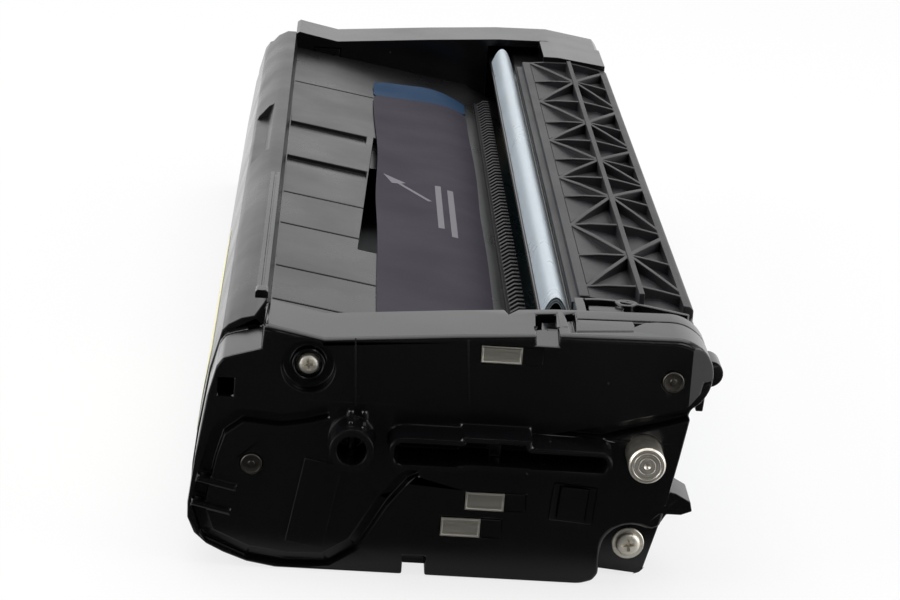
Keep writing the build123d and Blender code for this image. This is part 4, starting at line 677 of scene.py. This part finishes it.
# %% Lay a film
def laid_film(name, path, near, far, rows, soft=True):
    """A film along the cartridge whose section follows a path of (x, z) points in millimetres."""
    x, z = path[0]
    middle = (x * MM, (near + far) / 2 * MM, z * MM)
    bpy.ops.object.select_all(action="DESELECT")
    bpy.ops.mesh.primitive_grid_add(x_subdivisions=1, y_subdivisions=rows, size=1, location=middle)
    film = bpy.context.active_object
    film.name = name
    bpy.ops.object.mode_set(mode="EDIT")
    bpy.ops.mesh.select_mode(type="EDGE")
    bpy.ops.mesh.select_all(action="SELECT")
    bpy.ops.transform.resize(value=(0, (far - near) * MM, 1), center_override=middle)
    bpy.ops.mesh.remove_doubles(threshold=0.01 * MM)
    bpy.ops.mesh.select_all(action="SELECT")
    for (x_a, z_a), (x_b, z_b) in zip(path, path[1:]):
        step = ((x_b - x_a) * MM, 0, (z_b - z_a) * MM)
        bpy.ops.mesh.extrude_region_move(TRANSFORM_OT_translate={"value": step})
    bpy.ops.mesh.select_all(action="SELECT")
    bpy.ops.mesh.normals_make_consistent(inside=False)
    bpy.ops.object.mode_set(mode="OBJECT")
    bpy.ops.object.transform_apply(location=True, rotation=True, scale=True)
    if soft:
        soften = film.modifiers.new("bends", "SUBSURF")
        soften.levels = soften.render_levels = 1
        bpy.ops.object.modifier_apply(modifier=soften.name)
    return film


def thicken(film, thickness, side=0):
    """Gives a film its thickness in millimetres."""
    take(film)
    wall = film.modifiers.new("thickness", "SOLIDIFY")
    wall.thickness = thickness * MM
    wall.offset = side
    bpy.ops.object.modifier_apply(modifier=wall.name)
    bpy.ops.object.shade_smooth_by_angle(angle=radians(40))


def path_length(path):
    """The length of a path in millimetres."""
    return sum(hypot(b[0] - a[0], b[1] - a[1]) for a, b in zip(path, path[1:]))


# %% [markdown]
# ## The folded film
# A white polyester film seals the slot. It is folded over itself three times along its length into a
# narrow tent, so its near end shows nested arcs. The path below runs over the tent, turns back at its
# foot and runs under it again, each time a little smaller.

# %% Fold the white film
TENT_MIDDLE, TENT_FOOT = 25.45, 50.95
TENT_HALF = [(3.1, 0.0), (2.75, 0.7), (2.3, 1.9), (1.75, 3.1), (1.15, 3.95), (0.55, 4.4), (0.0, 4.55)]


def tent(layer, way):
    """The section of one layer of the tent, from one foot to the other."""
    half = [(across * (1 - 0.15 * layer), up * (1 - 0.13 * layer)) for across, up in TENT_HALF]
    right_side = [(TENT_MIDDLE + way * across, TENT_FOOT + up) for across, up in half]
    left_side = [(TENT_MIDDLE - way * across, TENT_FOOT + up) for across, up in reversed(half[:-1])]
    return right_side + left_side


tent_path = tent(0, 1) + tent(1, -1) + tent(2, 1)
TENT_NEAR, TENT_FAR = -137.0, 140.0
WAVE_LENGTH, WAVE_HEIGHT = 30.0, 0.16
WHITE_THICKNESS = 0.14
folded = laid_film("folded_white_film", tent_path, TENT_NEAR, TENT_FAR, rows=40)
uneven = bpy.data.textures.new("film_waves", "CLOUDS")
uneven.noise_scale = WAVE_LENGTH * MM
waves = folded.modifiers.new("waves", "DISPLACE")
waves.texture = uneven
waves.texture_coords = "LOCAL"
waves.strength = WAVE_HEIGHT * MM
waves.mid_level = 0.5
bpy.ops.object.modifier_apply(modifier=waves.name)
thicken(folded, WHITE_THICKNESS)
stands_for(folded, "folded_film")
print("white film", round(path_length(tent_path), 1), "mm wide,", len(folded.data.polygons), "faces")

# %% [markdown]
# ## The protective sheet
# A dark satin film lies on the sloping wall and keeps light off the drum during transport. It is not
# quite flat: it bulges towards its right edge, and its left edge lifts a little and wanders. The bulge
# is in the path, and the edge is pulled about with proportional editing, which carries the
# neighbouring points along.

# %% Lay the sheet on the slope
SLOPE_LEFT, SLOPE_TOP, SLOPE_FALL = -14.5, 46.2, SLOPE_DROP / SLOPE_WIDTH
SHEET_RIGHT = 13.6
SHEET_NEAR, SHEET_FAR, TAB_FAR = -150.0, 103.0, 118.0
SHEET_STEPS = 9
SHEET_LIFT, SHEET_BULGE = 0.2, 1.4
SHEET_LEAN = 1.9
FILM_THICKNESS = 0.2


def on_slope(x, lift):
    """A point over the sloping wall, in millimetres."""
    return x, SLOPE_TOP - SLOPE_FALL * (x - SLOPE_LEFT) + lift


sheet_path = [on_slope(SLOPE_LEFT + (SHEET_RIGHT - SLOPE_LEFT) * step / SHEET_STEPS,
                       SHEET_LIFT + SHEET_BULGE * sin(pi * (step / SHEET_STEPS) ** SHEET_LEAN))
              for step in range(SHEET_STEPS + 1)]


def pull(film, place, move, reach):
    """Pulls the point of a film nearest to a place, and what lies within reach of it, by a move."""
    nearest = min(film.data.vertices, key=lambda point: (point.co - Vector(place) * MM).length).index
    pick(film, "VERT", lambda point: point.index == nearest)
    bpy.ops.transform.translate(value=Vector(move) * MM, use_proportional_edit=True,
                                proportional_edit_falloff="SMOOTH", proportional_size=reach * MM)
    bpy.ops.object.mode_set(mode="OBJECT")


satin = laid_film("satin_protective_sheet", sheet_path, SHEET_NEAR, SHEET_FAR, rows=24)
EDGE_PULLS = ((30, (0.9, 0, 0.15)), (-60, (0.5, 0, 0.1)), (85, (-0.1, 0, 0.3)))
EDGE_REACH = 60
edge_x, edge_z = on_slope(SLOPE_LEFT, SHEET_LIFT)
for station, move in EDGE_PULLS:
    pull(satin, (edge_x, station, edge_z), move, EDGE_REACH)
thicken(satin, FILM_THICKNESS)
stands_for(satin, "protective_sheet")
print("sheet", round(path_length(sheet_path), 1), "mm wide")

# %% [markdown]
# ## The pull tab
# Beyond the sheet a blue tab sticks up for the fingers. It starts flat on the slope and curls up
# towards its free end.

# %% Lay the tab and curl it
tab = laid_film("blue_pull_tab", sheet_path, SHEET_FAR, TAB_FAR, rows=6)
TAB_PULLS = ((0, (0, -0.8, 1.6), 16), (-12, (0, -0.3, 0.9), 10))
for across, move, reach in TAB_PULLS:
    end_x, end_z = on_slope(across, 0)
    pull(tab, (end_x, TAB_FAR, end_z), move, reach)
thicken(tab, FILM_THICKNESS)
stands_for(tab, "pull_tab")
print("tab", len(tab.data.polygons), "faces")

# %% [markdown]
# ## What is printed on the sheet
# A grey arrow shows which way to pull, and two bare bars stand where a notice would be. Each print is
# a flat outline over the sheet. A Shrinkwrap modifier lays it on the film, so it follows its waves.

# %% Print the arrow and the bars
INK_THICKNESS, ABOVE_SHEET = 0.03, 50


def printed(name, outline, place, turn):
    """Lays a flat outline of rows (half width, along) on the sheet, turned round its place."""
    x, y = place
    (wide, start), *rest = outline
    bpy.ops.object.select_all(action="DESELECT")
    bpy.ops.mesh.primitive_grid_add(x_subdivisions=4, y_subdivisions=1, size=1, location=(0, 0, 0))
    ink = bpy.context.active_object
    ink.name = name
    bpy.ops.object.mode_set(mode="EDIT")
    bpy.ops.mesh.select_mode(type="EDGE")
    bpy.ops.mesh.select_all(action="SELECT")
    bpy.ops.transform.resize(value=(2 * wide * MM, 0, 1), center_override=(0, 0, 0))
    bpy.ops.mesh.remove_doubles(threshold=0.001 * MM)
    bpy.ops.mesh.select_all(action="SELECT")
    bpy.ops.transform.translate(value=(0, start * MM, 0))
    for half, along in rest:
        bpy.ops.mesh.extrude_region_move(TRANSFORM_OT_translate={"value": (0, (along - start) * MM, 0)})
        bpy.ops.transform.resize(value=(half / wide, 1, 1), center_override=(0, along * MM, 0))
        wide, start = half, along
    bpy.ops.mesh.select_all(action="SELECT")
    bpy.ops.transform.rotate(value=turn, orient_axis="Z", center_override=(0, 0, 0))
    bpy.ops.transform.translate(value=(x * MM, y * MM, ABOVE_SHEET * MM))
    bpy.ops.mesh.normals_make_consistent(inside=False)
    bpy.ops.object.mode_set(mode="OBJECT")
    bpy.ops.object.transform_apply(location=True, rotation=True, scale=True)
    cling = ink.modifiers.new("cling", "SHRINKWRAP")
    cling.target = satin
    cling.wrap_method = "PROJECT"
    cling.use_project_z = True
    cling.use_negative_direction = True
    cling.use_positive_direction = False
    cling.offset = INK_THICKNESS * MM
    bpy.ops.object.modifier_apply(modifier=cling.name)
    thicken(ink, INK_THICKNESS, 1)
    ink.data.materials.append(grey_ink)
    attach(ink, body_of(parts["protective_sheet"])[0])
    print(name, len(ink.data.polygons))


ARROW = [(0.55, 0), (0.55, 5), (0.55, 10), (0.55, 15), (0.6, 17), (2.2, 17.3), (1.4, 20.5), (0.06, 26)]
printed("printed_arrow", ARROW, (0.2, -17.1), radians(-28))
BAR_HALF, BAR_STEP = 0.8, 4
for name, steps, place in (("printed_bar_left", 11, (2.6, -43.5)), ("printed_bar_right", 12, (5.9, -50.0))):
    printed(name, [(BAR_HALF, BAR_STEP * step) for step in range(steps + 1)], place, 0)

# %% [markdown]
# ## The label
# A bare paper label is stuck on the left wall. It wraps round the wall's slight bend, and its corners
# are rounded by bevelling their vertices.

# %% Stick the label on
LABEL_PATH = [(-53.93, 16.2), (-53.12, 24.3), (-52.6, 28.4), (-51.45, 36.1)]
LABEL_NEAR, LABEL_FAR = -129.8, -20.2
LABEL_CORNER, CORNER_REACH = 2.2, 0.5
LABEL_THICKNESS = 0.12
corner_points = [(x, y, z) for x, z in (LABEL_PATH[0], LABEL_PATH[-1]) for y in (LABEL_NEAR, LABEL_FAR)]


def at_label_corner(point):
    """Whether a point is one of the label's four corners."""
    return any((point.co - Vector(corner) * MM).length < CORNER_REACH * MM for corner in corner_points)


label = laid_film("stuck_side_label", LABEL_PATH, LABEL_NEAR, LABEL_FAR, rows=12, soft=False)
pick(label, "VERT", at_label_corner)
bpy.ops.mesh.bevel(offset=LABEL_CORNER * MM, segments=5, affect="VERTICES")
bpy.ops.object.mode_set(mode="OBJECT")
thicken(label, LABEL_THICKNESS)
stands_for(label, "side_label")
print("label", len(label.data.polygons))

# %% [markdown]
# ## The studio
# The cartridge stands on a pale floor in front of a white sweep. A large soft lamp hangs over it, a
# little behind. A weaker one on each side draws thin lights along the rounded edges, and a small one
# in front lifts the shadows. The background is white for the camera. In reflections the room is
# bright behind the cartridge and at its sides and dark in front, so the black face stays deep while
# the tops catch a grey sheen. A black cloth on the floor before the face helps with that. Only
# reflections see it, and it fades in over the first two centimetres, so the foot mirrors a pale strip.

# %% Lamps
def soft_lamp(name, place, aim, size, power):
    """A rectangular lamp that faces a point."""
    lamp = bpy.data.lights.new(name, "AREA")
    lamp.shape = "RECTANGLE"
    lamp.size, lamp.size_y = size
    lamp.energy = power
    holder = bpy.data.objects.new(name, lamp)
    bpy.context.collection.objects.link(holder)
    holder.location = place
    holder.rotation_euler = (Vector(aim) - Vector(place)).to_track_quat("-Z", "Y").to_euler()


CARTRIDGE_MIDDLE = (0, 0, 0.03)
soft_lamp("overhead", (0, 0.22, 1.3), (0, 0.0, 0), (1.6, 1.6), 15)
soft_lamp("left_side", (-1.15, -0.3, 0.5), CARTRIDGE_MIDDLE, (1.2, 1.0), 8)
soft_lamp("right_side", (1.0, -0.4, 0.45), CARTRIDGE_MIDDLE, (0.9, 0.8), 4)
soft_lamp("front_fill", (0.5, -1.4, 0.9), CARTRIDGE_MIDDLE, (0.5, 0.5), 2)
print("lamps:", len(bpy.data.lights))

# %% The floor
bpy.ops.object.select_all(action="DESELECT")
bpy.ops.mesh.primitive_plane_add(size=6, location=(0, 0, -0.0002))
floor = bpy.context.active_object
floor.name = "studio_floor"
floor_finish, tree, shader, place = new_finish("pale_floor")
shader.inputs["Base Color"].default_value = linear("F2F2F2")
shader.inputs["Roughness"].default_value = 0.9
shader.inputs["Specular IOR Level"].default_value = 0.0
path = add(tree, "LightPath")
spot = add(tree, "SeparateXYZ", {0: place})
station = spot.outputs["Y"]
behind = ramp(tree, station, -0.2, 0.1)
sideways = add(tree, "Math", {0: spot.outputs["X"]}, {"operation": "ABSOLUTE"}).outputs[0]
mirrored = add(tree, "Math", {0: path.outputs["Is Glossy Ray"], 1: path.outputs["Is Transmission Ray"]},
               {"operation": "MAXIMUM"}).outputs[0]
seen = add(tree, "Math", {0: mirrored, 1: behind, 2: path.outputs["Is Camera Ray"]},
           {"operation": "MULTIPLY_ADD"}).outputs[0]
share = add(tree, "Math", {0: seen}, {"operation": "MULTIPLY", "use_clamp": True}, _1=0.78).outputs[0]
white = add(tree, "Emission", Color=(1, 1, 1, 1), Strength=1.0)
plain = add(tree, "MixShader", {0: share, 1: shader.outputs[0], 2: white.outputs[0]})
cloth = add(tree, "Emission", Color=(1, 1, 1, 1), Strength=0.04)
before = add(tree, "Math", {0: mirrored, 1: ramp(tree, station, -0.172, -0.188)},
             {"operation": "MULTIPLY"}).outputs[0]
in_front = add(tree, "Math", {0: before, 1: ramp(tree, sideways, 0.17, 0.1)},
               {"operation": "MULTIPLY"}).outputs[0]
blend = add(tree, "MixShader", {0: in_front, 1: plain.outputs[0], 2: cloth.outputs[0]})
tree.links.new(blend.outputs[0], tree.nodes["Material Output"].inputs["Surface"])
floor.data.materials.append(floor_finish)
print("floor nodes:", len(tree.nodes))

# %% The room
world = bpy.data.worlds.new("studio")
bpy.context.scene.world = world
world.use_nodes = True
tree = world.node_tree
tree.nodes.clear()
way = add(tree, "SeparateXYZ", {0: add(tree, "TexCoord").outputs["Generated"]})
sweep = ramp(tree, way.outputs["Y"], -0.3, 0.7, 0.06, 0.8)
sideways = add(tree, "Math", {0: way.outputs["X"]}, {"operation": "ABSOLUTE"}).outputs[0]
behind = ramp(tree, way.outputs["Y"], -0.2, 0.75, 0.02, 0.95)
beside = ramp(tree, sideways, 0.45, 0.8, 0.02, 1.2)
mirror_sweep = add(tree, "Math", {0: behind, 1: beside}, {"operation": "MAXIMUM"}).outputs[0]
path = add(tree, "LightPath")
room = add(tree, "Background", {"Strength": sweep}, Color=(1, 1, 1, 1))
mirror_room = add(tree, "Background", {"Strength": mirror_sweep}, Color=(1, 1, 1, 1))
backdrop = add(tree, "Background", Color=(1, 1, 1, 1), Strength=1.0)
mirrored = add(tree, "Math", {0: path.outputs["Is Glossy Ray"], 1: path.outputs["Is Transmission Ray"]},
               {"operation": "MAXIMUM"}).outputs[0]
lit = add(tree, "MixShader", {0: mirrored, 1: room.outputs[0], 2: mirror_room.outputs[0]})
shown = add(tree, "MixShader", {0: path.outputs["Is Camera Ray"], 1: lit.outputs[0], 2: backdrop.outputs[0]})
add(tree, "OutputWorld", {"Surface": shown.outputs[0]})

bpy.context.scene.view_settings.view_transform = "Standard"
print("room nodes:", len(tree.nodes))
